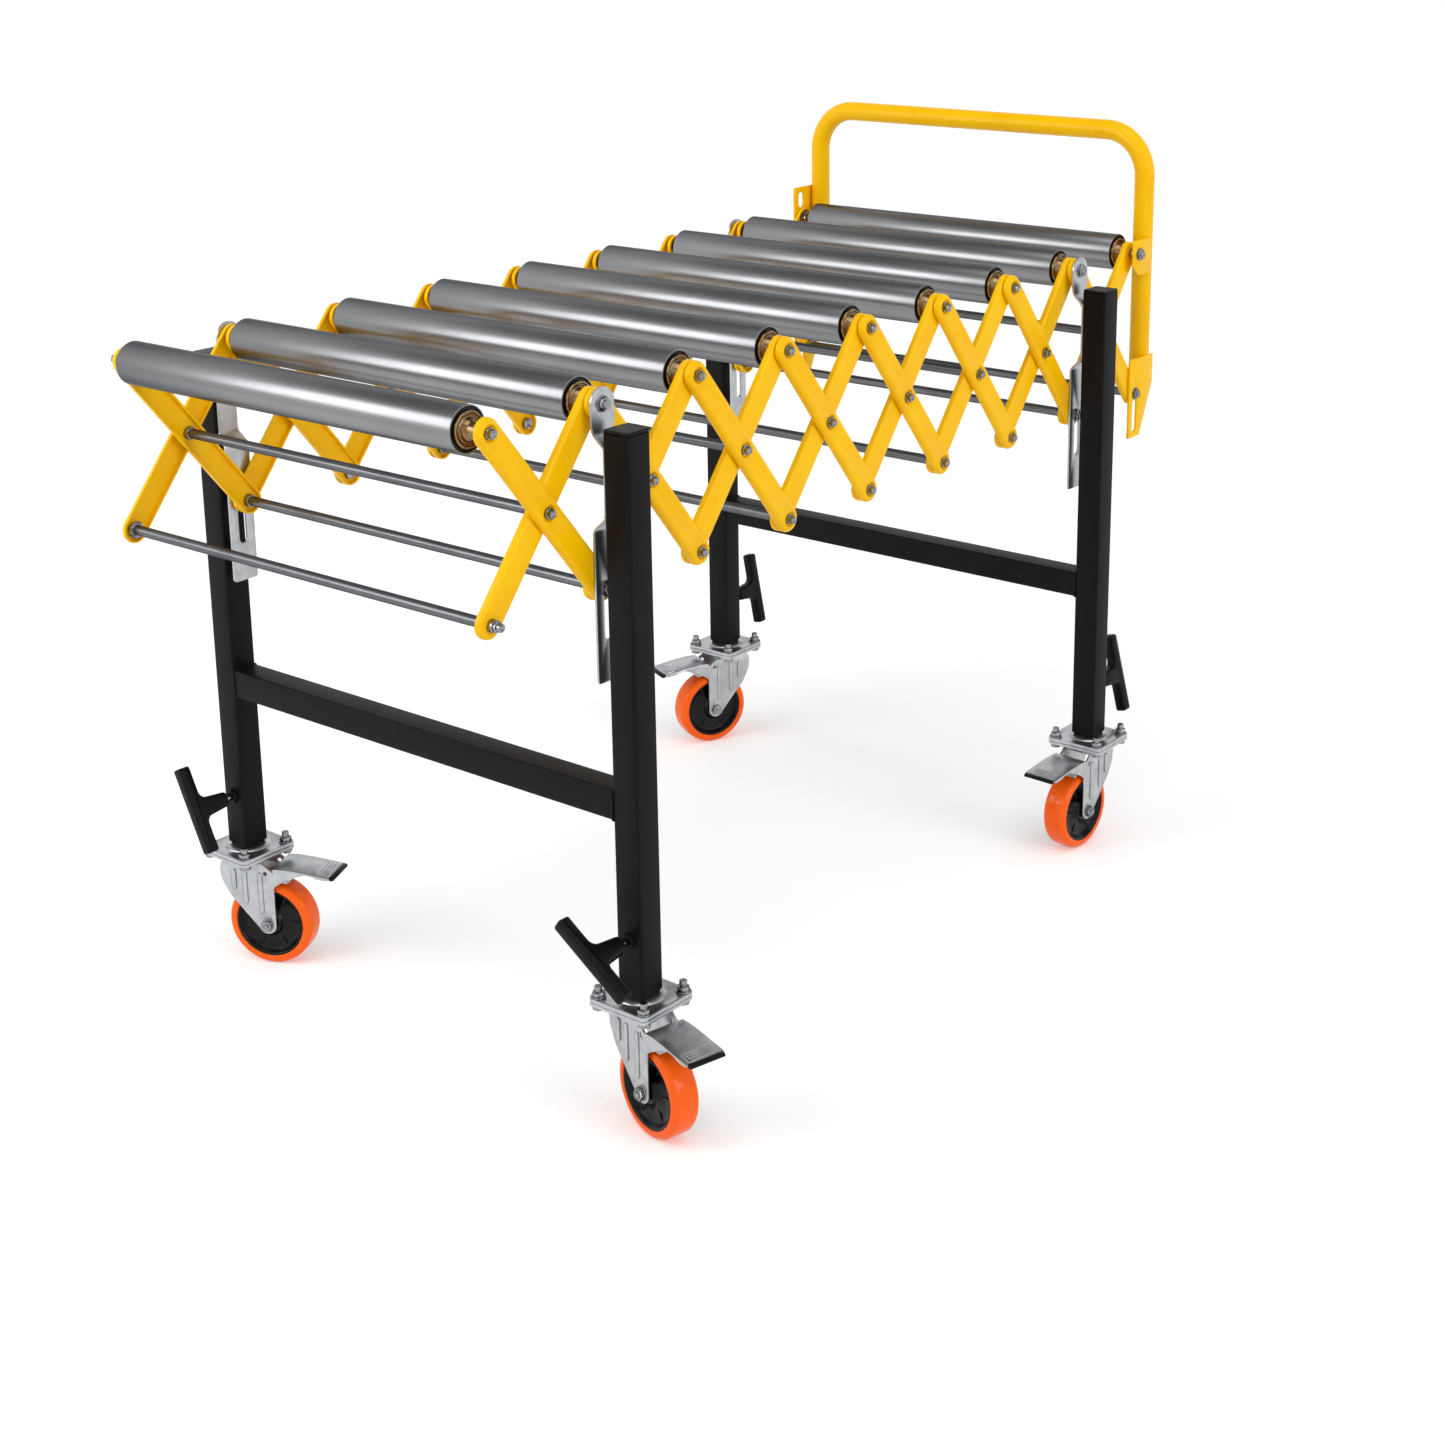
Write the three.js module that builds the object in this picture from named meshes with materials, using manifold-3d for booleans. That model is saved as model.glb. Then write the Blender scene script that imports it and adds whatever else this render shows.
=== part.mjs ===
// Expandable roller stand: nine free-running rollers carried by a scissor frame, two leg frames whose
// height is set by hand screws, four braked castors and a push handle at the far end.
// Lengths are in millimetres and angles in degrees. +Z is up, the rollers lie along X, and the scissor
// frame opens along Y, from the first roller to the handle. It is drawn fully opened, as it rests.
import * as THREE from "three";
import { mergeVertices } from "three/addons/utils/BufferGeometryUtils.js";
import Module from "manifold-3d";

const wasm = await Module();
wasm.setup();

// Clearances that every fit is worked out from
const RUN_GAP = 0.4; // round a turning pin, and behind its head
const SIDE_GAP = 0.5; // between two plates that slide past each other
const SEAT_GAP = 0.3; // between two pieces that are bolted, welded or pressed together
const OVERRUN = 2; // how far a cutting tool passes the face it opens

// Scissor frame
const PITCH = 160; // roller to roller when the frame is fully opened
const RISE = 200; // roller axle to the bottom pivot under it, fully opened
const FRAME_HALF_WIDTH = 296; // middle plane to the outer face of the outer arms
const ARM_WIDTH = 32;
const CHANNEL_DEPTH = 8; // outer arms are shallow channels, open inwards
const CHANNEL_WALL = 2.5;
const BAR_THICKNESS = 5; // inner arms are flat bars
// Pins in order along the frame: A is fixed in the falling arms and B in the rising ones. A capital is an
// axle or a rod that runs right across, and a small letter is a rivet on each side.
const PIN_PLANS = { top: "AAAAABABB", middle: "AaBaaAaA", bottom: "BBbBbBbBA" };
const LEG_PLAN = ".L.....L."; // rollers that a leg frame hangs from

// Pins, rods and their heads
const AXLE_RADIUS = 6;
const ROD_RADIUS = 5;
const HEAD_RADIUS = 8.5;
const AXLE_HEAD_RADIUS = 10;
const HEAD_THICKNESS = 5;
const RIVET_HEAD_THICKNESS = 3;
const COLLAR_RADIUS = 9; // spacers on the axles and on the ends of the rods

// Rollers
const ROLLER_RADIUS = 25;
const ROLLER_WALL = 1.5;
const ROLLER_END_ROOM = 17.5; // roller end to the inner arm
const BEARING_DEPTH = 12;
const BEARING_CUP_RADIUS = 16;
const BEARING_NOSE_RADIUS = 10;

// Leg frames
const TUBE_SIZE = 35; // square tube of the legs and the crossbar
const TUBE_WALL = 1.5;
const LEG_STANDOFF = 17.5; // outer arms to the inner face of the leg
const LEG_TOP_DROP = 26; // roller axle to the open top of the leg tube
const LEG_LENGTH = 629;
const CROSSBAR_DROP = 420; // roller axle to the top of the crossbar
const DRAIN_RADIUS = 4;
const CAP_THICKNESS = 4;
const CAP_PLUG_DEPTH = 14;

// Brackets that hang a leg on its roller axle and guide the pin under it
const PLATE_THICKNESS = 3;
const BRACKET_WIDTH = 36;
const LUG_DROP = 28; // roller axle to the first bend
const BEND_HEIGHT = 18; // height of each slanting bend
const GUIDE_TOP_DROP = 136; // roller axle to the top of the straight guide plate
const GUIDE_BOTTOM_DROP = 303;
const FOLDED_PITCH = 54; // roller to roller when the frame is fully closed

// Sliding inner legs
const INNER_LEG_LENGTH = 300;
const INNER_LEG_SHOWING = 6;
const MOUNT_SIZE = 84;
const MOUNT_THICKNESS = 5;
const MOUNT_BOLT_RADIUS = 4;
const MOUNT_BOLT_HEAD_RADIUS = 7;
const MOUNT_BOLT_HEAD_THICKNESS = 5;
const MOUNT_BOLT_STANDOUT = 5;
const MOUNT_BOLT_INSET = 9; // plate edge to the bolt's middle

// Hand screws
const SCREW_RISE = 65; // lower end of the leg to the screw
const STUD_RADIUS = 4;
const WELD_NUT_RADIUS = 9;
const WELD_NUT_THICKNESS = 5;
const STUD_SHOWING = 8;
const HAND_BOSS_RADIUS = 10;
const HAND_BOSS_LENGTH = 45;
const HAND_BAR_LENGTH = 111;
const HAND_BAR_RADIUS = 10.5;
const HAND_BAR_TAPER = 3; // the bar's ends are this much thinner in radius

// Castors, measured down from the underside of their top plate
const CASTOR_PLATE_THICKNESS = 4;
const RACE_RADIUS = 25;
const RACE_DEPTH = 5;
const KINGPIN_RADIUS = 6;
const KINGPIN_HEAD_RADIUS = 10;
const KINGPIN_HEAD_DEPTH = 4;
const FORK_THICKNESS = 3;
const CROWN_RADIUS = 27;
const WHEEL_RADIUS = 56;
const WHEEL_WIDTH = 35;
const WHEEL_SIDE_ROOM = 2.5;
const TREAD_ROUND = 5;
const TREAD_THICKNESS = 11;
const HUB_RECESS = 7;
const HUB_RADIUS = 13;
const WHEEL_AXLE_RADIUS = 5;
const WHEEL_NUT_RADIUS = 8;
const WHEEL_NUT_THICKNESS = 5;
const WHEEL_TOP_ROOM = 22; // kingpin's head to the tread
const CASTOR_TRAIL = 30; // swivel axis to the wheel's axle
const AXLE_EYE_RADIUS = 12;
const CHEEK_BACK = 24; // swivel axis to the cheek's back edge, under the crown
const CHEEK_WAIST_BACK = 27;
const CHEEK_WAIST_DROP = 27;
const CHEEK_LOW_BACK = 15;
const CHEEK_LOW_DROP = 50;
const CHEEK_FRONT_DROP = 38; // where the front edge bends forwards to the pedal's pivot
const PEDAL_PIVOT_REACH = 50; // swivel axis to the pedal's pivot
const PEDAL_PIVOT_DROP = 24;
const PEDAL_PIN_RADIUS = 3;
const PEDAL_EYE_RADIUS = 7;
const PEDAL_REACH = 124; // swivel axis to the pedal's tip
const PEDAL_TOP_DROP = 11.5;
const PEDAL_THICKNESS = 3.5;
const PEDAL_EAR_THICKNESS = 2;
const PEDAL_EAR_SETBACK = 24; // how far the ears stop short of the pedal's tip
const PEDAL_TIP_FALL = 5;
const BRAKE_SHOE_REACH = 6;
const BRAKE_SHOE_DROP = 10;
const BRAKE_SHOE_RADIUS = 2;

// Which way each castor's pedal points, turned from +X about the vertical
const CASTOR_HEADINGS = { front_right: -14, front_left: 25, rear_right: -93, rear_left: -113 };
// How far each hand screw's bar leans from the vertical, anticlockwise as seen from outside its leg
const SCREW_LEANS = { front_right: 55, front_left: 26, rear_right: -14, rear_left: -11 };

// Push handle
const HANDLE_RADIUS = 14;
const HANDLE_WALL = 1.5;
const HANDLE_ROOM = 5; // round end of the arms to the handle tube
const HANDLE_WELD_DEPTH = 2; // how far the handle tube bites into its side plates
const HANDLE_TOP_RISE = 166;
const HANDLE_CORNER_RADIUS = 62;
const HANDLE_TUBE_BOTTOM_DROP = 190;
const EAR_TOP_RISE_RIGHT = 20;
const EAR_TOP_RISE_LEFT = 48;
const EAR_BOTTOM_DROP = 30;
const EAR_HOLE_RADIUS = 6;
const EAR_HOLE_BOTTOM_RISE = 22;
const EAR_HOLE_TOP_RISE = 34;
const FOOT_OVERLAP = 40; // how far the lower plates run up beside the tube
const FOOT_END_MARGIN = 8; // metal left below the slot
const FOOT_BOTTOM_WIDTH = 32;

// How many flat sides stand for each round
const PIN_SIDES = 8;
const HEX = 6;
const ARM_END_STEPS = 5;
const POCKET_END_STEPS = 3;
const EYE_STEPS = 5;
const ROLLER_SIDES = 14;
const WHEEL_SIDES = 18;
const DISC_SIDES = 12;
const HANDLE_SIDES = 10;
const HANDLE_BEND_STEPS = 5;

// Sizes worked out from those above
const ROLLER_COUNT = PIN_PLANS.top.length;
const BAY_COUNT = ROLLER_COUNT - 1;
const LEG_STATIONS = [...LEG_PLAN].flatMap((mark, k) => (mark === "L" ? [k + 1] : []));
const SIDES = [1, -1];
const ARM_LENGTH = Math.hypot(PITCH, RISE);
const ARM_LEAN = Math.atan2(RISE, PITCH);
const FOLDED_RISE = Math.sqrt(ARM_LENGTH ** 2 - FOLDED_PITCH ** 2);
const OUTER_ARM = { from: FRAME_HALF_WIDTH - CHANNEL_DEPTH, to: FRAME_HALF_WIDTH };
const INNER_ARM = {
  from: OUTER_ARM.from - SIDE_GAP - BAR_THICKNESS,
  to: OUTER_ARM.from - SIDE_GAP,
};
const SIDE_PLATE = {
  from: FRAME_HALF_WIDTH + SIDE_GAP,
  to: FRAME_HALF_WIDTH + SIDE_GAP + PLATE_THICKNESS,
};
const ROLLER_HALF_LENGTH = INNER_ARM.from - ROLLER_END_ROOM;
const LEG_X = FRAME_HALF_WIDTH + LEG_STANDOFF + TUBE_SIZE / 2;
const LEG_BOTTOM_DROP = LEG_TOP_DROP + LEG_LENGTH;
const SCREW_DROP = LEG_BOTTOM_DROP - SCREW_RISE;
const BORE_SIZE = TUBE_SIZE - 2 * TUBE_WALL;
const INNER_LEG_SIZE = BORE_SIZE - 2 * SIDE_GAP;
const MOUNT_TOP_DROP = LEG_BOTTOM_DROP + INNER_LEG_SHOWING;
const CASTOR_PLATE_TOP_DROP = MOUNT_TOP_DROP + MOUNT_THICKNESS + SEAT_GAP;
const CASTOR_DROP = CASTOR_PLATE_TOP_DROP + CASTOR_PLATE_THICKNESS;
const FORK_INNER = WHEEL_WIDTH / 2 + WHEEL_SIDE_ROOM;
const FORK_OUTER = FORK_INNER + FORK_THICKNESS;
const FORK_TOP_DROP = RACE_DEPTH + RUN_GAP;
const KINGPIN_HEAD_DROP = FORK_TOP_DROP + FORK_THICKNESS + RUN_GAP;
const WHEEL_TOP_DROP = KINGPIN_HEAD_DROP + KINGPIN_HEAD_DEPTH + WHEEL_TOP_ROOM;
const WHEEL_AXLE_DROP = WHEEL_TOP_DROP + WHEEL_RADIUS;
const PEDAL_EAR = { from: FORK_OUTER + SIDE_GAP, to: FORK_OUTER + SIDE_GAP + PEDAL_EAR_THICKNESS };
const HANDLE_SETBACK = ARM_WIDTH / 2 + HANDLE_ROOM + HANDLE_RADIUS; // last axle to the handle's plane
const HANDLE_X = SIDE_PLATE.from + HANDLE_WELD_DEPTH - HANDLE_RADIUS;

const FOOT_TOP_DROP = HANDLE_TUBE_BOTTOM_DROP - FOOT_OVERLAP;

const radians = THREE.MathUtils.degToRad;
const span = (side, layer) => (side > 0 ? [layer.from, layer.to] : [-layer.to, -layer.from]);
const clearRadius = (radius) => (radius + RUN_GAP) / Math.cos(Math.PI / PIN_SIDES);
const FOOT_BOTTOM_DROP = FOLDED_RISE + clearRadius(ROD_RADIUS) + FOOT_END_MARGIN;

// Closed geometry to a solid that can be joined and cut
function solid(geometry) {
  const bare = geometry.clone();
  bare.deleteAttribute("normal");
  bare.deleteAttribute("uv");
  const merged = mergeVertices(bare);
  return new wasm.Manifold(
    new wasm.Mesh({
      numProp: 3,
      vertProperties: merged.attributes.position.array,
      triVerts: new Uint32Array(merged.index.array),
    }),
  );
}

const join = (bodies) => bodies.reduce((all, body) => all.add(body));
const cut = (body, tools) => tools.reduce((left, tool) => left.subtract(tool), body);

function geometryOf(body) {
  const mesh = body.getMesh();
  const geometry = new THREE.BufferGeometry();
  geometry.setAttribute("position", new THREE.BufferAttribute(mesh.vertProperties, 3));
  geometry.setIndex(new THREE.BufferAttribute(mesh.triVerts, 1));
  const faceted = geometry.toNonIndexed();
  faceted.computeVertexNormals();
  return faceted;
}

// Round bar along one axis, centred on the other two
function bar(axis, radius, from, to, centre = [0, 0, 0], sides = PIN_SIDES, endRadius = radius) {
  const geometry = new THREE.CylinderGeometry(endRadius, radius, to - from, sides);
  if (axis === "x") geometry.rotateZ(-Math.PI / 2);
  if (axis === "z") geometry.rotateX(Math.PI / 2);
  const middle = (from + to) / 2;
  const place = new THREE.Vector3(...centre);
  place[axis] = middle;
  return solid(geometry.translate(place.x, place.y, place.z));
}

function block(x, y, z) {
  const geometry = new THREE.BoxGeometry(x[1] - x[0], y[1] - y[0], z[1] - z[0]);
  return solid(geometry.translate((x[0] + x[1]) / 2, (y[0] + y[1]) / 2, (z[0] + z[1]) / 2));
}

function arc(u, v, radius, start, end, steps) {
  return Array.from({ length: steps + 1 }, (_, k) => {
    const angle = radians(start + ((end - start) * k) / steps);
    return [u + radius * Math.cos(angle), v + radius * Math.sin(angle)];
  });
}

// Flat outline given as [y, z] points, made thick along X
function slab(outline, [from, to]) {
  const shape = new THREE.Shape(outline.map(([y, z]) => new THREE.Vector2(y, z)));
  const geometry = new THREE.ExtrudeGeometry(shape, { depth: to - from, bevelEnabled: false });
  const standing = new THREE.Matrix4().makeBasis(
    new THREE.Vector3(0, 1, 0),
    new THREE.Vector3(0, 0, 1),
    new THREE.Vector3(1, 0, 0),
  );
  return solid(geometry.applyMatrix4(standing).translate(from, 0, 0));
}

// Outline given as [x, z] points, made thick along Y
function slabAlongY(outline, [from, to]) {
  const shape = new THREE.Shape(outline.map(([x, z]) => new THREE.Vector2(x, z)));
  const geometry = new THREE.ExtrudeGeometry(shape, { depth: to - from, bevelEnabled: false });
  return solid(geometry.rotateX(Math.PI / 2).translate(0, to, 0));
}

// Round-ended upright slot between two heights, as a tool to cut with
function uprightSlot(radius, low, high, layer) {
  const topEnd = arc(0, high, radius, 0, 180, EYE_STEPS);
  const bottomEnd = arc(0, low, radius, 180, 360, EYE_STEPS);
  return slab([...topEnd, ...bottomEnd], layer);
}

// Ring turned about an axis from [radius, along] points, which close on themselves
function turned(axis, profile, sides, firstAngle = 0) {
  const points = [...profile, profile[0]].map(([r, along]) => new THREE.Vector2(r, along));
  const geometry = new THREE.LatheGeometry(points, sides, firstAngle);
  if (axis === "x") geometry.rotateZ(-Math.PI / 2);
  return solid(geometry);
}

const COLOURS = {
  yellow: { color: "#f5b50a", roughness: 0.35, metalness: 0 },
  black: { color: "#1d1b1b", roughness: 0.45, metalness: 0 },
  zinc: { color: "#b9bcc0", roughness: 0.35, metalness: 1 },
  roller: { color: "#a4a6a8", roughness: 0.28, metalness: 1 },
  plastic: { color: "#131313", roughness: 0.5, metalness: 0 },
  orange: { color: "#f2530f", roughness: 0.3, metalness: 0 },
};

function addMesh(group, name, body, finish) {
  const mesh = new THREE.Mesh(geometryOf(body), new THREE.MeshStandardMaterial(COLOURS[finish]));
  mesh.name = name;
  group.add(mesh);
  return mesh;
}

// Group with its own origin at a pivot, so that its pieces are drawn about that pivot
function groupAt(parent, x, y, z) {
  const group = new THREE.Group();
  group.position.set(x, y, z);
  parent.add(group);
  return group;
}

// First arms (a) fall from a roller axle and second arms (b) rise to the next one. The first arms are the
// outer ones on the right side and the inner ones on the left side.
function armOutline(width, steps) {
  return [
    ...arc(0, 0, width / 2, 90, 270, steps),
    ...arc(ARM_LENGTH, 0, width / 2, -90, 90, steps),
  ];
}

const flatArm = (side) => slab(armOutline(ARM_WIDTH, ARM_END_STEPS), span(side, INNER_ARM));

function channelArm(side) {
  const pocketLayer = { from: OUTER_ARM.from - OVERRUN, to: OUTER_ARM.to - CHANNEL_WALL };
  const pocketOutline = armOutline(ARM_WIDTH - 2 * CHANNEL_WALL, POCKET_END_STEPS);
  const pocket = slab(pocketOutline, span(side, pocketLayer));
  return slab(armOutline(ARM_WIDTH, ARM_END_STEPS), span(side, OUTER_ARM)).subtract(pocket);
}

// A pivot is named by its row, top, middle or bottom, and its number along the frame
function firstArmMeets({ row, n }) {
  if (row === "top") return n <= BAY_COUNT;
  return row === "middle" || n > 1;
}

function secondArmMeets({ row, n }) {
  if (row === "top") return n > 1;
  return row === "middle" || n <= BAY_COUNT;
}

const planned = ({ row, n }) => PIN_PLANS[row][n - 1];
const heldBySecondArm = (pivot) => planned(pivot).toUpperCase() === "B";
const crossesFrame = (pivot) => planned(pivot) === planned(pivot).toUpperCase();
const pinRadius = ({ row }) => (row === "top" ? AXLE_RADIUS : ROD_RADIUS);

// Plates that a pin passes on one side, from the inside outwards
function layersAt(pivot, side) {
  const outerMeets = side > 0 ? firstArmMeets : secondArmMeets;
  const innerMeets = side > 0 ? secondArmMeets : firstArmMeets;
  const layers = [];
  if (innerMeets(pivot)) layers.push(INNER_ARM);
  if (outerMeets(pivot)) layers.push(OUTER_ARM);
  const plated = LEG_STATIONS.includes(pivot.n) || pivot.n === ROLLER_COUNT;
  if (plated && pivot.row !== "middle") layers.push(SIDE_PLATE);
  return layers;
}

function rodAcross(pivot, along) {
  const centre = [0, along, 0];
  const isAxle = pivot.row === "top";
  const headRadius = isAxle ? AXLE_HEAD_RADIUS : HEAD_RADIUS;
  const ends = [];
  const rings = [];
  for (const side of SIDES) {
    const layers = layersAt(pivot, side);
    const collars = [];
    let reached = isAxle ? ROLLER_HALF_LENGTH + ROLLER_END_ROOM : layers[0].from;
    for (const layer of layers) {
      const room = { from: reached + RUN_GAP, to: layer.from - RUN_GAP };
      if (room.to - room.from > SIDE_GAP) collars.push(room);
      reached = layer.to;
    }
    const out = layers.at(-1).to + RUN_GAP;
    ends.push(out + HEAD_THICKNESS);
    collars.forEach((collar) => rings.push(bar("x", COLLAR_RADIUS, ...span(side, collar), centre, HEX)));
    const head = { from: out, to: out + HEAD_THICKNESS };
    rings.push(bar("x", headRadius, ...span(side, head), centre, HEX));
  }
  return join([bar("x", pinRadius(pivot), -ends[1], ends[0], centre), ...rings]);
}

function rivetPair(along) {
  const centre = [0, along, 0];
  const shank = {
    from: INNER_ARM.from - RUN_GAP - RIVET_HEAD_THICKNESS,
    to: OUTER_ARM.to + RUN_GAP + RIVET_HEAD_THICKNESS,
  };
  const innerHead = { from: shank.from, to: INNER_ARM.from - RUN_GAP };
  const outerHead = { from: OUTER_ARM.to + RUN_GAP, to: shank.to };
  return join(
    SIDES.flatMap((side) => [
      bar("x", ROD_RADIUS, ...span(side, shank), centre, HEX),
      bar("x", HEAD_RADIUS, ...span(side, innerHead), centre, HEX),
      bar("x", HEAD_RADIUS, ...span(side, outerHead), centre, HEX),
    ]),
  );
}

// One arm on each side, with the pins that are fixed in them, drawn from its first pivot along +Y
function armPair(isFirst, pivots) {
  const arms = SIDES.map((side) => (isFirst === side > 0 ? channelArm(side) : flatArm(side)));
  const reach = SIDE_PLATE.to;
  const holes = [];
  const pins = [];
  pivots.forEach((pivot, k) => {
    const along = (k * ARM_LENGTH) / 2;
    if (heldBySecondArm(pivot) === isFirst) {
      holes.push(bar("x", clearRadius(pinRadius(pivot)), -reach, reach, [0, along, 0]));
    } else {
      pins.push(crossesFrame(pivot) ? rodAcross(pivot, along) : rivetPair(along));
    }
  });
  return join([cut(join(arms), holes), ...pins]);
}

function addScissorFrame(stand) {
  for (let n = 1; n <= BAY_COUNT; n += 1) {
    const top = { row: "top", n };
    const middle = { row: "middle", n };
    const bottom = { row: "bottom", n };
    const nextTop = { row: "top", n: n + 1 };
    const nextBottom = { row: "bottom", n: n + 1 };
    const first = groupAt(stand, 0, (n - 1) * PITCH, 0);
    first.rotation.x = -ARM_LEAN;
    addMesh(first, `arm_pair_a${n}`, armPair(true, [top, middle, nextBottom]), "yellow");
    const second = groupAt(stand, 0, (n - 1) * PITCH, -RISE);
    second.rotation.x = ARM_LEAN;
    addMesh(second, `arm_pair_b${n}`, armPair(false, [bottom, middle, nextTop]), "yellow");
  }
}

// Roller: a tube with a bearing pressed into each end
function rollerBody() {
  const half = ROLLER_HALF_LENGTH;
  const inside = ROLLER_RADIUS - ROLLER_WALL;
  const bore = clearRadius(AXLE_RADIUS);
  const nose = ROLLER_END_ROOM - SIDE_GAP;
  const endProfile = [
    [ROLLER_RADIUS, half],
    [BEARING_CUP_RADIUS, half],
    [BEARING_NOSE_RADIUS, half + nose],
    [bore, half + nose],
    [bore, half - BEARING_DEPTH],
    [inside, half - BEARING_DEPTH],
  ];
  const otherEnd = endProfile.map(([r, x]) => [r, -x]).reverse();
  return turned("x", [...otherEnd, ...endProfile], ROLLER_SIDES);
}

function addRollers(stand) {
  for (let n = 1; n <= ROLLER_COUNT; n += 1) {
    const group = groupAt(stand, 0, (n - 1) * PITCH, 0);
    addMesh(group, `roller_${n}`, rollerBody(), "roller");
  }
}

// Leg frame: two square tubes, open at both ends, and a hollow crossbar with a drain hole
const centred = (size) => [-size / 2, size / 2];

function squareTube(x, outer, wall, z) {
  const bore = outer - 2 * wall;
  const shell = block([x - outer / 2, x + outer / 2], centred(outer), z);
  const hollow = [z[0] - OVERRUN, z[1] + OVERRUN];
  return shell.subtract(block([x - bore / 2, x + bore / 2], centred(bore), hollow));
}

function crossbar() {
  const end = LEG_X - TUBE_SIZE / 2;
  const z = [-CROSSBAR_DROP - TUBE_SIZE, -CROSSBAR_DROP];
  const inside = block([-end, end], centred(BORE_SIZE), [z[0] + TUBE_WALL, z[1] - TUBE_WALL]);
  const weld = TUBE_WALL / 2; // the crossbar's ends reach half a wall into the legs
  const outside = block([-end - weld, end + weld], centred(TUBE_SIZE), z);
  const drain = bar("z", DRAIN_RADIUS, z[0] - OVERRUN, z[0] + TUBE_WALL + OVERRUN);
  return cut(outside, [inside, drain]);
}

function legFrameBody(screwWay) {
  const z = [-LEG_BOTTOM_DROP, -LEG_TOP_DROP];
  const face = TUBE_SIZE / 2;
  const along = (from, to) => (screwWay > 0 ? [from, to] : [-to, -from]);
  const tubes = SIDES.map((side) => squareTube(side * LEG_X, TUBE_SIZE, TUBE_WALL, z));
  const screwPlaces = SIDES.map((side) => [side * LEG_X, 0, -SCREW_DROP]);
  const nutSpan = along(face - TUBE_WALL / 2, face + WELD_NUT_THICKNESS);
  const holeSpan = along(face - TUBE_WALL - OVERRUN, face + WELD_NUT_THICKNESS + OVERRUN);
  const nuts = screwPlaces.map((place) => bar("y", WELD_NUT_RADIUS, ...nutSpan, place, HEX));
  const holes = screwPlaces.map((place) => bar("y", clearRadius(STUD_RADIUS), ...holeSpan, place));
  return cut(join([crossbar(), ...tubes, ...nuts]), holes);
}

// Bracket: a lug on the roller axle, a stretch that is welded to the leg, and a slotted guide below it
function bracketBody(side) {
  const legFace = LEG_X - TUBE_SIZE / 2 - SEAT_GAP;
  const bends = [
    [SIDE_PLATE.to, BRACKET_WIDTH],
    [SIDE_PLATE.to, -LUG_DROP],
    [legFace, -LUG_DROP - BEND_HEIGHT],
    [legFace, -GUIDE_TOP_DROP + BEND_HEIGHT],
    [SIDE_PLATE.to, -GUIDE_TOP_DROP],
    [SIDE_PLATE.to, -GUIDE_BOTTOM_DROP - OVERRUN],
  ];
  const outline = [...bends, ...bends.map(([x, z]) => [x - PLATE_THICKNESS, z]).reverse()];
  const shape = new THREE.Shape(outline.map(([x, z]) => new THREE.Vector2(side * x, z)));
  const geometry = new THREE.ExtrudeGeometry(shape, { depth: BRACKET_WIDTH, bevelEnabled: false });
  geometry.rotateX(Math.PI / 2).translate(0, BRACKET_WIDTH / 2, 0);
  const strip = solid(geometry);
  const half = BRACKET_WIDTH / 2;
  const reach = [SIDE_PLATE.from - OVERRUN, legFace + OVERRUN];
  const cheek = span(side, { from: reach[0], to: reach[1] });
  const corners = [[-half, -GUIDE_BOTTOM_DROP], [half, -GUIDE_BOTTOM_DROP]];
  const silhouette = slab([...arc(0, 0, half, 0, 180, EYE_STEPS), ...corners], cheek);
  const slot = uprightSlot(clearRadius(ROD_RADIUS), -FOLDED_RISE, -RISE, cheek);
  const eye = bar("x", clearRadius(AXLE_RADIUS), ...cheek);
  return cut(strip.intersect(silhouette), [slot, eye]);
}

function capBody(x) {
  const plug = BORE_SIZE - 2 * SEAT_GAP;
  const seat = -LEG_TOP_DROP + SEAT_GAP;
  return join([
    block([x - TUBE_SIZE / 2, x + TUBE_SIZE / 2], centred(TUBE_SIZE), [seat, seat + CAP_THICKNESS]),
    block([x - plug / 2, x + plug / 2], centred(plug), [seat - CAP_PLUG_DEPTH, seat]),
  ]);
}

// Inner leg: a square tube welded to the plate that the castor is bolted under
const BOLT_PLACES = SIDES.flatMap((u) =>
  SIDES.map((v) => [u, v].map((way) => way * (MOUNT_SIZE / 2 - MOUNT_BOLT_INSET))),
);

function innerLegBody() {
  const top = -MOUNT_TOP_DROP;
  const half = INNER_LEG_SIZE / 2;
  const tube = squareTube(0, INNER_LEG_SIZE, TUBE_WALL, [top - TUBE_WALL, top + INNER_LEG_LENGTH]);
  const plate = block(centred(MOUNT_SIZE), centred(MOUNT_SIZE), [top - MOUNT_THICKNESS, top]);
  const holes = BOLT_PLACES.map(([x, y]) =>
    bar("z", clearRadius(MOUNT_BOLT_RADIUS), top - MOUNT_THICKNESS - OVERRUN, top + OVERRUN, [x, y, 0]),
  );
  return cut(join([tube, plate]), holes);
}

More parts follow.
